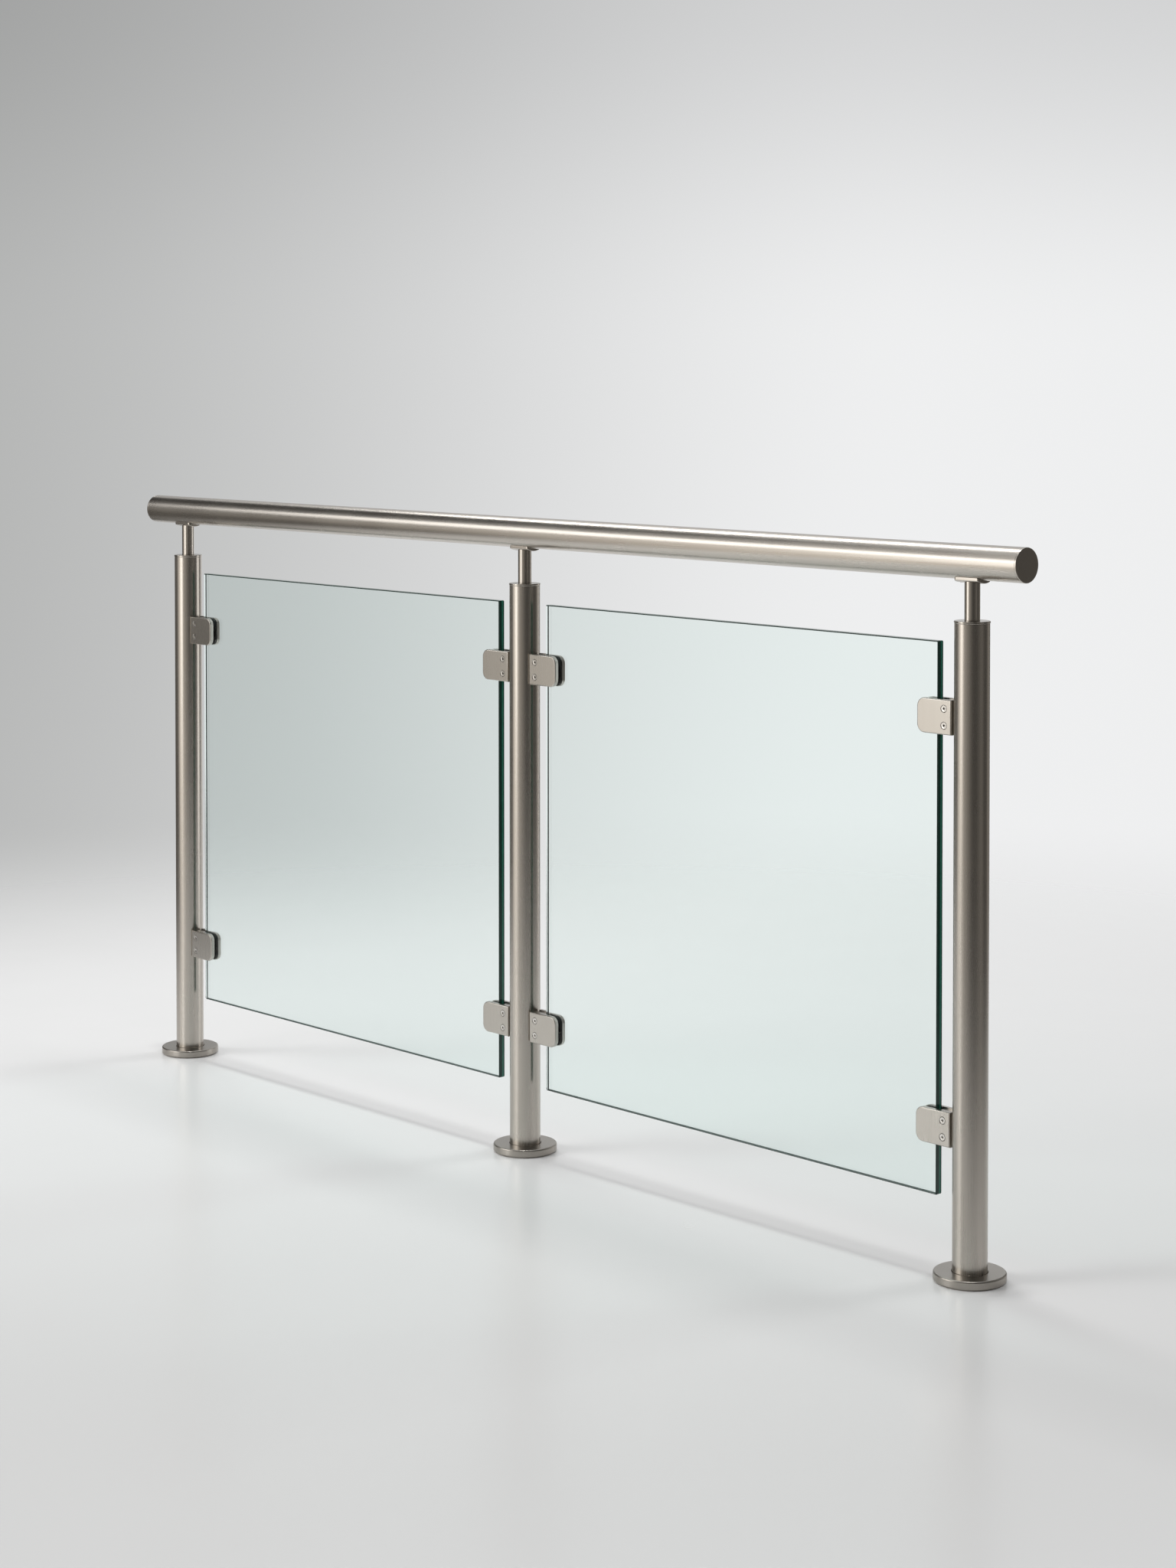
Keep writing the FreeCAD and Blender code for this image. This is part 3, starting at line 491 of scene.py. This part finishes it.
# Glass panes: two panes of clear toughened float glass, 12 mm thick. Their edges are ground flat and
# polished, so they look deep green, and the arrises are taken off with a dull bevel.
GLASS_CORNER = 2 * MM
GLASS_CORNER_STEPS = 6
GLASS_ARRIS = 1.5 * MM
GLASS_INDEX = 1.52
PANE_FACE, PANE_EDGE, PANE_ARRIS = range(3)
FACE_LEAN = 0.9
PANE_TINT = (0.90, 0.972, 0.958, 1)
PANE_SHADOW = (0.90, 0.965, 0.95, 1)
WAVE_SCALE = 5
WAVE_RELIEF = 0.02
WAVE_DEPTH = 1 * MM
FILM_SCALE = 11
FILM_REACH = (0.45, 0.8)
FILM_HAZE = (0, 0.03)
EDGE_GREEN = (0.003, 0.036, 0.026, 1)
# The edge's lighter heart is painted light: a lighter band down the middle of the green edge.
EDGE_PAINTED_GLOW = (0.025, 0.17, 0.12, 1)
HEART_SHIFT = 1.2 * MM
HEART_STOPS = (0.2, 0.5)
EDGE_CLOUD_SCALE = 70
EDGE_CLOUD = 0.2
EDGE_ROUGHNESS = (0.06, 0.14)
ARRIS_COLOUR = (0.012, 0.04, 0.031)
ARRIS_ROUGHNESS = 0.45
CHIP_SCALE = 400
CHIP_STOPS = (0.3, 0.7)
CHIP_SHADES = (0.8, 1.2)


def float_glass(name, tint):
    """Clear float glass: a green breath in its thickness, slow waves from the float, light shadows."""
    finish, tree, shader, place = new_finish(name)
    waves = add_noise(tree, place, WAVE_SCALE, detail=1)
    film = add_noise(tree, place, FILM_SCALE, detail=5)
    relief = add_node(tree, "Bump", {"Height": waves, "Strength": WAVE_RELIEF, "Distance": WAVE_DEPTH})
    set_sockets(tree, shader, {
        "Base Color": tint, "Transmission Weight": 1, "IOR": GLASS_INDEX,
        "Roughness": add_range(tree, film, FILM_REACH, FILM_HAZE), "Normal": relief.outputs["Normal"]})
    lit_through = add_node(tree, "BsdfTransparent", {"Color": PANE_SHADOW})
    light = add_node(tree, "LightPath", {})
    lights_up = add_node(tree, "Math", {
        0: light.outputs["Is Shadow Ray"], 1: light.outputs["Is Diffuse Ray"]}, operation="MAXIMUM")
    choice = add_node(tree, "MixShader", {
        0: lights_up.outputs[0], 1: shader.outputs[0], 2: lit_through.outputs[0]})
    tree.links.new(choice.outputs[0], tree.nodes["Material Output"].inputs["Surface"])
    return finish


def glass_edge(name, rim, glow, half, roughness):
    """Polished pane edge: green, its heart lighter with painted light, seen from outside; a mirror from
    inside.
    """
    finish, tree, shader, place = new_finish(name)
    across = add_node(tree, "SeparateXYZ", {"Vector": place}).outputs["Y"]
    shifted = add_node(tree, "Math", {0: across, 1: HEART_SHIFT}, operation="SUBTRACT")
    off_heart = add_node(tree, "Math", {0: shifted.outputs[0]}, operation="ABSOLUTE")
    share = add_range(tree, off_heart.outputs[0], (0, half), (0, 1))
    cloud = add_noise(tree, place, EDGE_CLOUD_SCALE, detail=3)
    uneven = add_node(tree, "Math", {0: cloud, 1: EDGE_CLOUD, 2: share}, operation="MULTIPLY_ADD")
    set_sockets(tree, shader, {
        "Base Color": add_ramp(tree, uneven.outputs[0], HEART_STOPS, (glow, rim)), "IOR": GLASS_INDEX,
        "Roughness": add_range(tree, cloud, (0, 1), roughness)})
    inside = add_node(tree, "BsdfGlass", {"Roughness": 0, "IOR": GLASS_INDEX})
    seen_from = add_node(tree, "NewGeometry", {})
    light = add_node(tree, "LightPath", {})
    mirrors = add_node(tree, "Math", {
        0: seen_from.outputs["Backfacing"], 1: light.outputs["Is Diffuse Ray"]},
        operation="SUBTRACT", use_clamp=True)
    choice = add_node(tree, "MixShader", {
        0: mirrors.outputs[0], 1: shader.outputs[0], 2: inside.outputs[0]})
    tree.links.new(choice.outputs[0], tree.nodes["Material Output"].inputs["Surface"])
    return finish


def dull_glass(name, colour, roughness):
    """Glass ground with a stone and left unpolished: an uneven, dull grey-green skin."""
    finish, tree, shader, place = new_finish(name)
    chips = add_noise(tree, place, CHIP_SCALE, detail=3)
    shades = [shade_of(colour, share) for share in CHIP_SHADES]
    set_sockets(tree, shader, {
        "Base Color": add_ramp(tree, chips, CHIP_STOPS, shades), "Roughness": roughness})
    return finish


pane_finish = float_glass("clear_float_glass", PANE_TINT)
edge_finish = glass_edge("polished_glass_edge", EDGE_GREEN, EDGE_PAINTED_GLOW, glass_half, EDGE_ROUGHNESS)
arris_finish = dull_glass("dull_glass_arris", ARRIS_COLOUR, ARRIS_ROUGHNESS)
for place in ("left", "right"):
    low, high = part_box(f"glass_{place}")
    pane = bmesh.new()
    bmesh.ops.create_cube(pane, size=1)
    pane.transform(Matrix.Translation((low + high) / 2) @ Matrix.Diagonal((*(high - low), 1)))
    across = [edge for edge in pane.edges if abs(edge.verts[0].co.y - edge.verts[1].co.y) > glass_half]
    bmesh.ops.bevel(pane, geom=across, offset=GLASS_CORNER, offset_type="OFFSET", affect="EDGES",
                    segments=GLASS_CORNER_STEPS, profile=0.5, material=-1)
    for face in pane.faces:
        face.material_index = PANE_FACE if abs(face.normal.y) > FACE_LEAN else PANE_EDGE
    rims = [edge for edge in pane.edges
            if len({face.material_index for face in edge.link_faces}) == 2]
    arris = bmesh.ops.bevel(pane, geom=rims, offset=GLASS_ARRIS, offset_type="OFFSET", affect="EDGES",
                            segments=1, profile=0.5, material=PANE_ARRIS)
    for face in arris["faces"]:
        face.material_index = PANE_ARRIS
    add_piece(f"glass_pane_{place}", pane, "pane_glass", [f"glass_{place}"],
              pane_finish, edge_finish, arris_finish)

# Clamp covers: eight loose front plates, the twin of the body's back plate, ground the same way and
# countersunk for two screws.
clamp_cover = upright_plate(clamp_start, clamp_end, clamp_height, -jaw, -clamp_face, CLAMP_CORNER)
round_over(clamp_cover, CLAMP_EDGE, lambda co: co.y < -clamp_face + TOUCH)
add_at_clamps(drilled(clamp_cover), "clamp_front", "clamp_steel", "clamp_cover", clamp_finish)

# Cover screws: sixteen countersunk stainless screws with a hexagon socket, two in each clamp cover.
# The heads are bright from the machine and lie a hair below the plate, with a shadow gap all round.
SCREW_HEAD = 4.8 * MM
SCREW_SHANK = 2.5 * MM
SCREW_LENGTH = 16 * MM
SCREW_RIM = 0.5 * MM
SCREW_RECESS = 0.2 * MM
SOCKET_SIDES = 6
SOCKET_FLATS = 3 * MM
SOCKET_DEPTH = 2 * MM
SOCKET_BREAK = 0.3 * MM
SCREW_COLOUR = (0.63, 0.61, 0.58)
SCREW_ROUGHNESS = 0.24
screw = turned([
    (0, -SCREW_LENGTH), (SCREW_SHANK, -SCREW_LENGTH), (SCREW_SHANK, SCREW_SHANK - SCREW_HEAD),
    (SCREW_HEAD, 0), (0, 0)], closed=False)
round_over(screw, SCREW_RIM, ring_at(SCREW_HEAD, 0))
socket_radius = SOCKET_FLATS / sqrt(3)
socket = bmesh.new()
bmesh.ops.create_cone(socket, cap_ends=True, segments=SOCKET_SIDES, radius1=socket_radius,
                      radius2=socket_radius, depth=2 * SOCKET_DEPTH)
screw = joined(screw, socket, "DIFFERENCE")
round_over(screw, SOCKET_BREAK, lambda co: abs(co.z) < TOUCH and hypot(co.x, co.y) < 2 * socket_radius,
           steps=2)
screw.transform(Matrix.Translation((0, 0, -SCREW_RECESS)))
screws = bmesh.new()
for name in CLAMPS:
    for screw_place in screw_places:
        one = bpy.data.meshes.new("blank")
        screw.to_mesh(one)
        one.transform(clamp_place(name) @ screw_place)
        screws.from_mesh(one)
        bpy.data.meshes.remove(one)
screw.free()
screw_finish = ground_steel("bright_screw_steel", SCREW_COLOUR, SCREW_ROUGHNESS, CUT_MARKS)
add_piece("cover_screws", screws, "screw_steel", ["clamp_cover_screws"], screw_finish)

# Post caps: three turned stainless caps with a plug in the post and a thin rim that stands just proud of
# it. The rim's top edge is rounded, the top is polished, and the bore takes the spigot of the stem.
CAP_RIM = 3.2 * MM
CAP_LIP = 0.6 * MM
CAP_TOP_EDGE = 1.0 * MM
CAP_UNDER_EDGE = 0.9 * MM
PLUG_GAP = 0.15 * MM
SPIGOT_RADIUS = 6 * MM
FITTING_COLOUR = (0.52, 0.485, 0.44)
CAP_ROUGHNESS = 0.20
cap_low, cap_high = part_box("post_cap_middle")
cap_radius = post_radius + CAP_LIP
plug_radius = post_radius - POST_WALL - PLUG_GAP
cap_bore = SPIGOT_RADIUS + PLUG_GAP
cap_foot = cap_high.z - CAP_RIM
cap = turned([
    (cap_bore, cap_low.z), (plug_radius, cap_low.z), (plug_radius, cap_foot),
    (cap_radius, cap_foot), (cap_radius, cap_high.z), (cap_bore, cap_high.z)])
round_over(cap, CAP_TOP_EDGE, ring_at(cap_radius, cap_high.z), steps=5)
round_over(cap, CAP_UNDER_EDGE, ring_at(cap_radius, cap_foot), steps=3)
mark_lathe(cap)
cap_finish = ground_steel("polished_cap_steel", FITTING_COLOUR, CAP_ROUGHNESS, LATHE_LINES, lathe=True)
add_at_posts(cap, "post_lid", "post_cap", cap_finish)

# Handrail stems: three lengths of 21.3 mm round stainless bar, turned with a spigot for the post cap.
# The top is hollowed to the saddle and tapped for its screw.
STEM_SCREW_BORE = 3.1 * MM
STEM_SCREW_DEPTH = 19 * MM
STEM_FOOT_EDGE = 0.4 * MM
SADDLE_THICKNESS = 4 * MM
SEAT_GAP = 0.1 * MM
STEM_ROUGHNESS = 0.24
stem_low, stem_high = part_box("rail_stem_middle")
rail_low, rail_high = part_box("handrail")
rail_radius = (rail_high.z - rail_low.z) / 2
rail_axis = (rail_high.z + rail_low.z) / 2
saddle_inside = rail_radius + SEAT_GAP
saddle_outside = saddle_inside + SADDLE_THICKNESS
stem_radius = (stem_high.x - stem_low.x) / 2
stem_top = rail_axis - saddle_outside - SEAT_GAP
bore_foot = stem_top - STEM_SCREW_DEPTH
stem = turned([
    (0, stem_low.z), (SPIGOT_RADIUS, stem_low.z), (SPIGOT_RADIUS, cap_high.z),
    (stem_radius, cap_high.z), (stem_radius, stem_top),
    (STEM_SCREW_BORE, stem_top), (STEM_SCREW_BORE, bore_foot), (0, bore_foot)], closed=False)
for vert in stem.verts:
    if abs(vert.co.z - stem_top) < TOUCH:
        vert.co.z = rail_axis - sqrt((saddle_outside + SEAT_GAP) ** 2 - vert.co.y ** 2)
round_over(stem, STEM_FOOT_EDGE, ring_at(stem_radius, cap_high.z), steps=2)
stem_finish = ground_steel("turned_stem_steel", FITTING_COLOUR, STEM_ROUGHNESS, GRAIN_UPRIGHT)
add_at_posts(stem, "stem", "rail_stem", stem_finish)

# Saddles: three stainless plates, 44 by 27 mm and 4 mm thick, rolled to the underside of the handrail,
# with rounded corners and softened edges. One countersunk screw holds each to its stem from above, and
# two go up from it into the handrail.
SADDLE_CORNER = 4 * MM
SADDLE_CORNER_STEPS = 6
SADDLE_EDGE = 0.8 * MM
SADDLE_STRIPS = 18
STEM_SCREW_SINK = 6.1 * MM
RAIL_SCREW_BORE = 2.1 * MM
RAIL_SCREW_SINK = 4.1 * MM
SADDLE_SCREW_DEPTH = 10 * MM
SADDLE_ROUGHNESS = 0.25
GRAIN_ALONG = (5, 1300, 1300)
saddle_low, saddle_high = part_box("rail_saddle_middle")
saddle_length = saddle_high.x - saddle_low.x
saddle_width = saddle_high.y - saddle_low.y
rail_screw_reach = (2 * stem_radius + saddle_length) / 4
saddle = bmesh.new()
bmesh.ops.create_grid(saddle, x_segments=1, y_segments=1, size=0.5)
saddle.transform(Matrix.Diagonal((saddle_length, saddle_width, 1, 1)))
bmesh.ops.bevel(saddle, geom=saddle.verts[:], offset=SADDLE_CORNER, offset_type="OFFSET",
                affect="VERTICES", segments=SADDLE_CORNER_STEPS, profile=0.5, material=-1)
for strip in range(1, SADDLE_STRIPS):
    cut_y = saddle_width * (strip / SADDLE_STRIPS - 0.5)
    bmesh.ops.bisect_plane(saddle, geom=saddle.verts[:] + saddle.edges[:] + saddle.faces[:],
                           dist=MERGE_REACH, plane_co=(0, cut_y, 0), plane_no=(0, 1, 0))
raised = bmesh.ops.extrude_face_region(saddle, geom=saddle.faces[:])["geom"]
upper = {item for item in raised if isinstance(item, bmesh.types.BMVert)}
for vert in saddle.verts:
    roll = saddle_inside if vert in upper else saddle_outside
    vert.co.z = rail_axis - sqrt(roll ** 2 - vert.co.y ** 2)
bmesh.ops.recalc_face_normals(saddle, faces=saddle.faces)
round_over(saddle, SADDLE_EDGE)
stem_hole = screw_hole(STEM_SCREW_BORE, STEM_SCREW_SINK, SADDLE_SCREW_DEPTH)
stem_hole.transform(Matrix.Translation((0, 0, rail_axis - saddle_inside)))
saddle = joined(saddle, stem_hole, "DIFFERENCE")
head_down = Matrix.Rotation(pi, 4, "X")
for side in (-1, 1):
    rail_hole = screw_hole(RAIL_SCREW_BORE, RAIL_SCREW_SINK, SADDLE_SCREW_DEPTH)
    rail_hole.transform(
        Matrix.Translation((side * rail_screw_reach, 0, rail_axis - saddle_outside)) @ head_down)
    saddle = joined(saddle, rail_hole, "DIFFERENCE")
saddle_finish = ground_steel("ground_saddle_steel", FITTING_COLOUR, SADDLE_ROUGHNESS, GRAIN_ALONG)
add_at_posts(saddle, "saddle", "rail_saddle", saddle_finish)
for node in ("stem_screws", "rail_screws"):
    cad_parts[node].material_slots[0].material = screw_finish

# Handrail: one length of drawn stainless tube, 48.3 mm by 2 mm, ground lengthwise to a satin finish.
# It rests in the three saddles and is screwed to them from below.
RAIL_WALL = 2 * MM
RAIL_END_ROUNDING = 0.3 * MM
to_along = Matrix.Rotation(pi / 2, 4, "Y")
rings = [post_axis[place] + side * saddle_length / 2 for place in POSTS for side in (-1, 1)]
wall_places = [rail_low.x, *rings, rail_high.x]
rail = turned([(rail_radius, x) for x in wall_places]
              + [(rail_radius - RAIL_WALL, x) for x in reversed(wall_places)])
round_over(rail, RAIL_END_ROUNDING, steps=2)
rail.transform(Matrix.Translation((0, 0, rail_axis)) @ to_along)
for place in POSTS:
    for side in (-1, 1):
        bore = bar_along(RAIL_SCREW_BORE, 0, 2 * rail_radius)
        bore.transform(
            Matrix.Translation((post_axis[place] + side * rail_screw_reach, 0, rail_axis)) @ to_along)
        rail = joined(rail, bore, "DIFFERENCE")
rail_finish = ground_steel("satin_tube_along", TUBE_COLOUR, TUBE_ROUGHNESS, GRAIN_ALONG)
add_piece("handrail_tube", rail, "tube_steel", ["handrail"], rail_finish)

# Handrail end caps: two turned stainless discs, each with a plug pressed into the tube. The face is flat
# and satin, flush with the tube all round, and its edge is rounded.
END_CAP_FACE = 3 * MM
END_CAP_EDGE = 1.2 * MM
END_CAP_PLUG = 12 * MM
END_CAP_ROUNDING = 0.3 * MM
END_CAP_ROUGHNESS = 0.26
end_plug = rail_radius - RAIL_WALL - PLUG_GAP
end_cap = turned([
    (0, -END_CAP_PLUG), (end_plug, -END_CAP_PLUG), (end_plug, 0), (rail_radius, 0),
    (rail_radius, END_CAP_FACE), (0, END_CAP_FACE)], closed=False)
round_over(end_cap, END_CAP_EDGE, ring_at(rail_radius, END_CAP_FACE))
round_over(end_cap, END_CAP_ROUNDING, ring_at(rail_radius, 0), steps=2)
mark_lathe(end_cap)
end_cap_finish = ground_steel(
    "turned_cap_steel", FITTING_COLOUR, END_CAP_ROUGHNESS, LATHE_LINES, lathe=True)
for place, x, turn in (("left", rail_low.x, -pi / 2), ("right", rail_high.x, pi / 2)):
    end_move = Matrix.Translation((x, 0, rail_axis)) @ Matrix.Rotation(turn, 4, "Y")
    add_piece(f"rail_end_{place}", moved(end_cap, end_move), "fitting_steel",
              [f"rail_end_cap_{place}"], end_cap_finish)
end_cap.free()

# Floor: a smooth pale studio floor, with a trace of gloss. Painted shade makes it a little darker toward
# the camera, where the light falls off. It fades into the backdrop round the panel.
FLOOR_RADIUS = 7.0
FLOOR_FADE = (1.3, 3.6)
# The floor's lit colour, then its darker colour of painted shade toward the camera.
FLOOR_LIT_AND_SHADED = ((0.88, 0.88, 0.88, 1), (0.75, 0.75, 0.745, 1))
FLOOR_FRONT = radians(-43)
FRONT_REACH = (-0.4, 1.4)
FLOOR_ROUGHNESS = (0.20, 0.30)
FLOOR_GLOSS = 0.4
MOTTLE_SCALE = 3
SOFTLY = "SMOOTHSTEP"
floor_shape = bmesh.new()
bmesh.ops.create_circle(floor_shape, cap_ends=True, segments=LATHE_STEPS, radius=FLOOR_RADIUS)
floor = add_shape("studio_floor", floor_shape)
floor_finish, tree, shader, spot = new_finish("pale_floor")
mottle = add_noise(tree, spot, MOTTLE_SCALE, detail=4)
toward_front = (cos(FLOOR_FRONT), sin(FLOOR_FRONT), 0)
frontward = add_node(tree, "VectorMath", {0: spot, 1: toward_front}, operation="DOT_PRODUCT")
# How much painted shade the floor takes, growing toward the camera.
painted_shade_share = add_range(tree, frontward.outputs["Value"], FRONT_REACH, (0, 1), SOFTLY)
set_sockets(tree, shader, {
    "Base Color": add_ramp(tree, painted_shade_share, (0, 1), FLOOR_LIT_AND_SHADED),
    "Roughness": add_range(tree, mottle, (0, 1), FLOOR_ROUGHNESS), "Specular IOR Level": FLOOR_GLOSS})
distance = add_node(tree, "VectorMath", {0: spot}, operation="LENGTH")
fade = add_range(tree, distance.outputs["Value"], FLOOR_FADE, (0, 1), SOFTLY)
gone = add_node(tree, "BsdfTransparent", {})
blend = add_node(tree, "MixShader", {0: fade, 1: shader.outputs[0], 2: gone.outputs[0]})
tree.links.new(blend.outputs[0], tree.nodes["Material Output"].inputs["Surface"])
floor.data.materials.append(floor_finish)

# Backdrop: a pale grey wall, in soft shade at the left and a little darker upwards. What the camera, the
# steel and the glass see of it is kept apart from the softer level at which it lights the panel.
BACKDROP_SHADE = (0.41, 0.415, 0.41, 1)
BACKDROP_PALE = (0.86, 0.865, 0.87, 1)
SHADE_TURN = radians(171)
SHADE_REACH = (cos(radians(41)), cos(radians(14)))
UPPER_SHARES = (1, 0.74)
UPPER_REACH = (0, 0.14)
AMBIENT = (0.36, 0.36, 0.36, 1)
world = bpy.data.worlds.new("studio")
bpy.context.scene.world = world
world.use_nodes = True
tree = world.node_tree
heading = add_node(tree, "TexCoord", {}).outputs["Generated"]
toward_shade = (cos(SHADE_TURN), sin(SHADE_TURN), 0)
lean = add_node(tree, "VectorMath", {0: heading, 1: toward_shade}, operation="DOT_PRODUCT")
slope = add_range(tree, lean.outputs["Value"], SHADE_REACH, (0, 1), SOFTLY)
rise = add_node(tree, "SeparateXYZ", {"Vector": heading}).outputs["Z"]
seen = tree.nodes["Background"]
set_sockets(tree, seen, {
    "Color": add_ramp(tree, slope, (0, 1), (BACKDROP_PALE, BACKDROP_SHADE)),
    "Strength": add_range(tree, rise, UPPER_REACH, UPPER_SHARES, SOFTLY)})
lit = add_node(tree, "Background", {"Color": AMBIENT})
rays = add_node(tree, "LightPath", {})
camera_or_gloss = add_node(tree, "Math", {
    0: rays.outputs["Is Camera Ray"], 1: rays.outputs["Is Glossy Ray"]}, operation="MAXIMUM")
looks = add_node(tree, "Math", {
    0: camera_or_gloss.outputs[0], 1: rays.outputs["Is Transmission Ray"]}, operation="MAXIMUM")
sky = add_node(tree, "MixShader", {0: looks.outputs[0], 1: lit.outputs[0], 2: seen.outputs[0]})
tree.links.new(sky.outputs[0], tree.nodes["World Output"].inputs["Surface"])

# Drapes: glowing warm grey cloths, dark and light, hung round the front and the ends of the set, as is
# done for shooting steel; they glow though they are no lamp. Only reflections see them, from the panel's
# side: their bright and dark bands are painted reflections, which give the tubes their soft bands.
DRAPE_SECTION = ((0.9, 0.004), (2.6, 0.02), (4.4, 0.25), (4.4, 2.6), (3.6, 3.8), (2.7, 4.3))
DRAPE_START = radians(-192)
DRAPE_SPAN = radians(292)
# The glow round the set, by bearing: painted reflections, the high tones paint the steel's highlights and
# the low ones its dark bands.
DRAPE_GLOW_TONES = {
    -175: 0.12, -147: 0.10, -136: 0.72, -124: 1.10, -110: 1.00, -90: 0.48, -58: 0.24, -36: 0.08,
    -15: 0.08, 11: 0.20, 30: 0.07, 48: 0.10, 70: 0.38, 90: 0.10, 160: 0.10}
DRAPE_GLOW_TINT = (1, 0.94, 0.86)
DRAPE_FADE = (0.9, 2.6)
DRAPE_HEIGHTS = (1.0, 2.6)
DRAPE_SHARES = (1, 0.25)
PANEL_MIDDLE = Vector((0, 0, 0.6))
drape_shape = bmesh.new()
turn = Matrix.Rotation(DRAPE_START, 3, "Z")
hem = [drape_shape.verts.new(turn @ Vector((radius, 0, z))) for radius, z in DRAPE_SECTION]
folds = [drape_shape.edges.new(pair) for pair in zip(hem, hem[1:])]
bmesh.ops.spin(drape_shape, geom=hem + folds, cent=(0, 0, 0), axis=(0, 0, 1), dvec=(0, 0, 0),
               angle=DRAPE_SPAN, steps=LATHE_STEPS, use_merge=False)
drape_shape.normal_update()
for face in drape_shape.faces:
    if face.normal.dot(face.calc_center_median() - PANEL_MIDDLE) > 0:
        face.normal_flip()
glowing_drapes = add_shape("glowing_drapes", drape_shape)
reflection_glow_finish, tree, _, spot = new_finish("painted_reflection_glow")
bearing = add_node(tree, "TexGradient", {"Vector": spot}, gradient_type="RADIAL")
tone_places = [degrees_round / 360 + 0.5 for degrees_round in DRAPE_GLOW_TONES]
glow_tones = [shade_of(DRAPE_GLOW_TINT, tone) for tone in DRAPE_GLOW_TONES.values()]
height = add_node(tree, "SeparateXYZ", {"Vector": spot}).outputs["Z"]
# The cloth glows by itself: painted reflections, not cloth lit by the lamps.
painted_glow = add_node(tree, "Emission", {
    "Color": add_ramp(tree, bearing.outputs[1], tone_places, glow_tones),
    "Strength": add_range(tree, height, DRAPE_HEIGHTS, DRAPE_SHARES, SOFTLY)})
level_spot = add_node(tree, "VectorMath", {0: spot, 1: (1, 1, 0)}, operation="MULTIPLY")
distance = add_node(tree, "VectorMath", {0: level_spot.outputs["Vector"]}, operation="LENGTH")
outside = add_node(tree, "NewGeometry", {}).outputs["Backfacing"]
inside = add_node(tree, "Math", {0: 1, 1: outside}, operation="SUBTRACT")
fade = add_range(tree, distance.outputs["Value"], DRAPE_FADE, (0, inside.outputs[0]), SOFTLY)
gone = add_node(tree, "BsdfTransparent", {})
blend = add_node(tree, "MixShader", {0: fade, 1: gone.outputs[0], 2: painted_glow.outputs[0]})
tree.links.new(blend.outputs[0], tree.nodes["Material Output"].inputs["Surface"])
glowing_drapes.data.materials.append(reflection_glow_finish)
glowing_drapes.visible_camera = False
glowing_drapes.visible_diffuse = False
glowing_drapes.visible_transmission = False
glowing_drapes.visible_shadow = False

# Lamps: two soft boxes at the front left, a narrow one overhead, a card behind that shows only as a rim of
# light on the posts, and three far lamps for faint shadows. A soft box has a spot, an aim, a size and a
# power, and a far lamp a bearing, a rise, a power and a softness.
SOFT_BOXES = {
    "key_box": ((-1.2, -3.5, 1.35), PANEL_MIDDLE, (1.2, 2.6), 18),
    "rail_box": ((-2.9, -3.1, 2.05), PANEL_MIDDLE, (3.0, 1.6), 36),
    "top_strip": ((-1.5, 0.6, 3.2), (-1.5, 0.6, 0), (2.6, 0.4), 30),
    "rim_card": ((0.3, 1.75, 0.75), (-3.9, 1.75, 0.75), (1.2, 1.5), 7.5),
}
FAR_LAMPS = {
    "front_lamp": (-128, 35, 0.55, 18),
    "back_lamp": (72, 35, 0.5, 18),
    "upper_lamp": (0, 90, 0.5, 2),
}


def add_lamp(name, lamp, spot, aim, power):
    """A lamp at a spot, shining toward another, that isn't itself seen through the panes."""
    lamp.energy = power
    box = add_object(name, lamp)
    box.location = spot
    box.rotation_euler = (spot - aim).to_track_quat("Z", "Y").to_euler()
    box.visible_transmission = False
    return box


for name, (spot, aim, (wide, high), power) in SOFT_BOXES.items():
    lamp = bpy.data.lights.new(name, "AREA")
    lamp.shape = "RECTANGLE"
    lamp.size = wide
    lamp.size_y = high
    box = add_lamp(name, lamp, Vector(spot), Vector(aim), power)
    box.visible_diffuse = name != "rim_card"
for name, (bearing, rise, power, softness) in FAR_LAMPS.items():
    lamp = bpy.data.lights.new(name, "SUN")
    lamp.angle = radians(softness)
    level = cos(radians(rise))
    direction = Vector((level * cos(radians(bearing)), level * sin(radians(bearing)), sin(radians(rise))))
    add_lamp(name, lamp, PANEL_MIDDLE + direction, PANEL_MIDDLE, power)

# Camera: at chest height in front of the panel's right end, with a nearly level look and a lowered lens,
# so that the posts stay upright in the picture.
CAMERA_SPOT = (3.4381, -3.0991, 1.2556)
CAMERA_TURN = radians(46.742)
CAMERA_TILT = radians(-1.703)
CAMERA_LENS = 67.85
CAMERA_LOWERING = -0.2182
lens = bpy.data.cameras.new("camera")
lens.lens = CAMERA_LENS
lens.shift_y = CAMERA_LOWERING
camera = add_object("camera", lens)
camera.location = CAMERA_SPOT
camera.rotation_euler = (pi / 2 + CAMERA_TILT, 0, CAMERA_TURN)
bpy.context.scene.camera = camera
bpy.context.scene.view_settings.view_transform = "Standard"
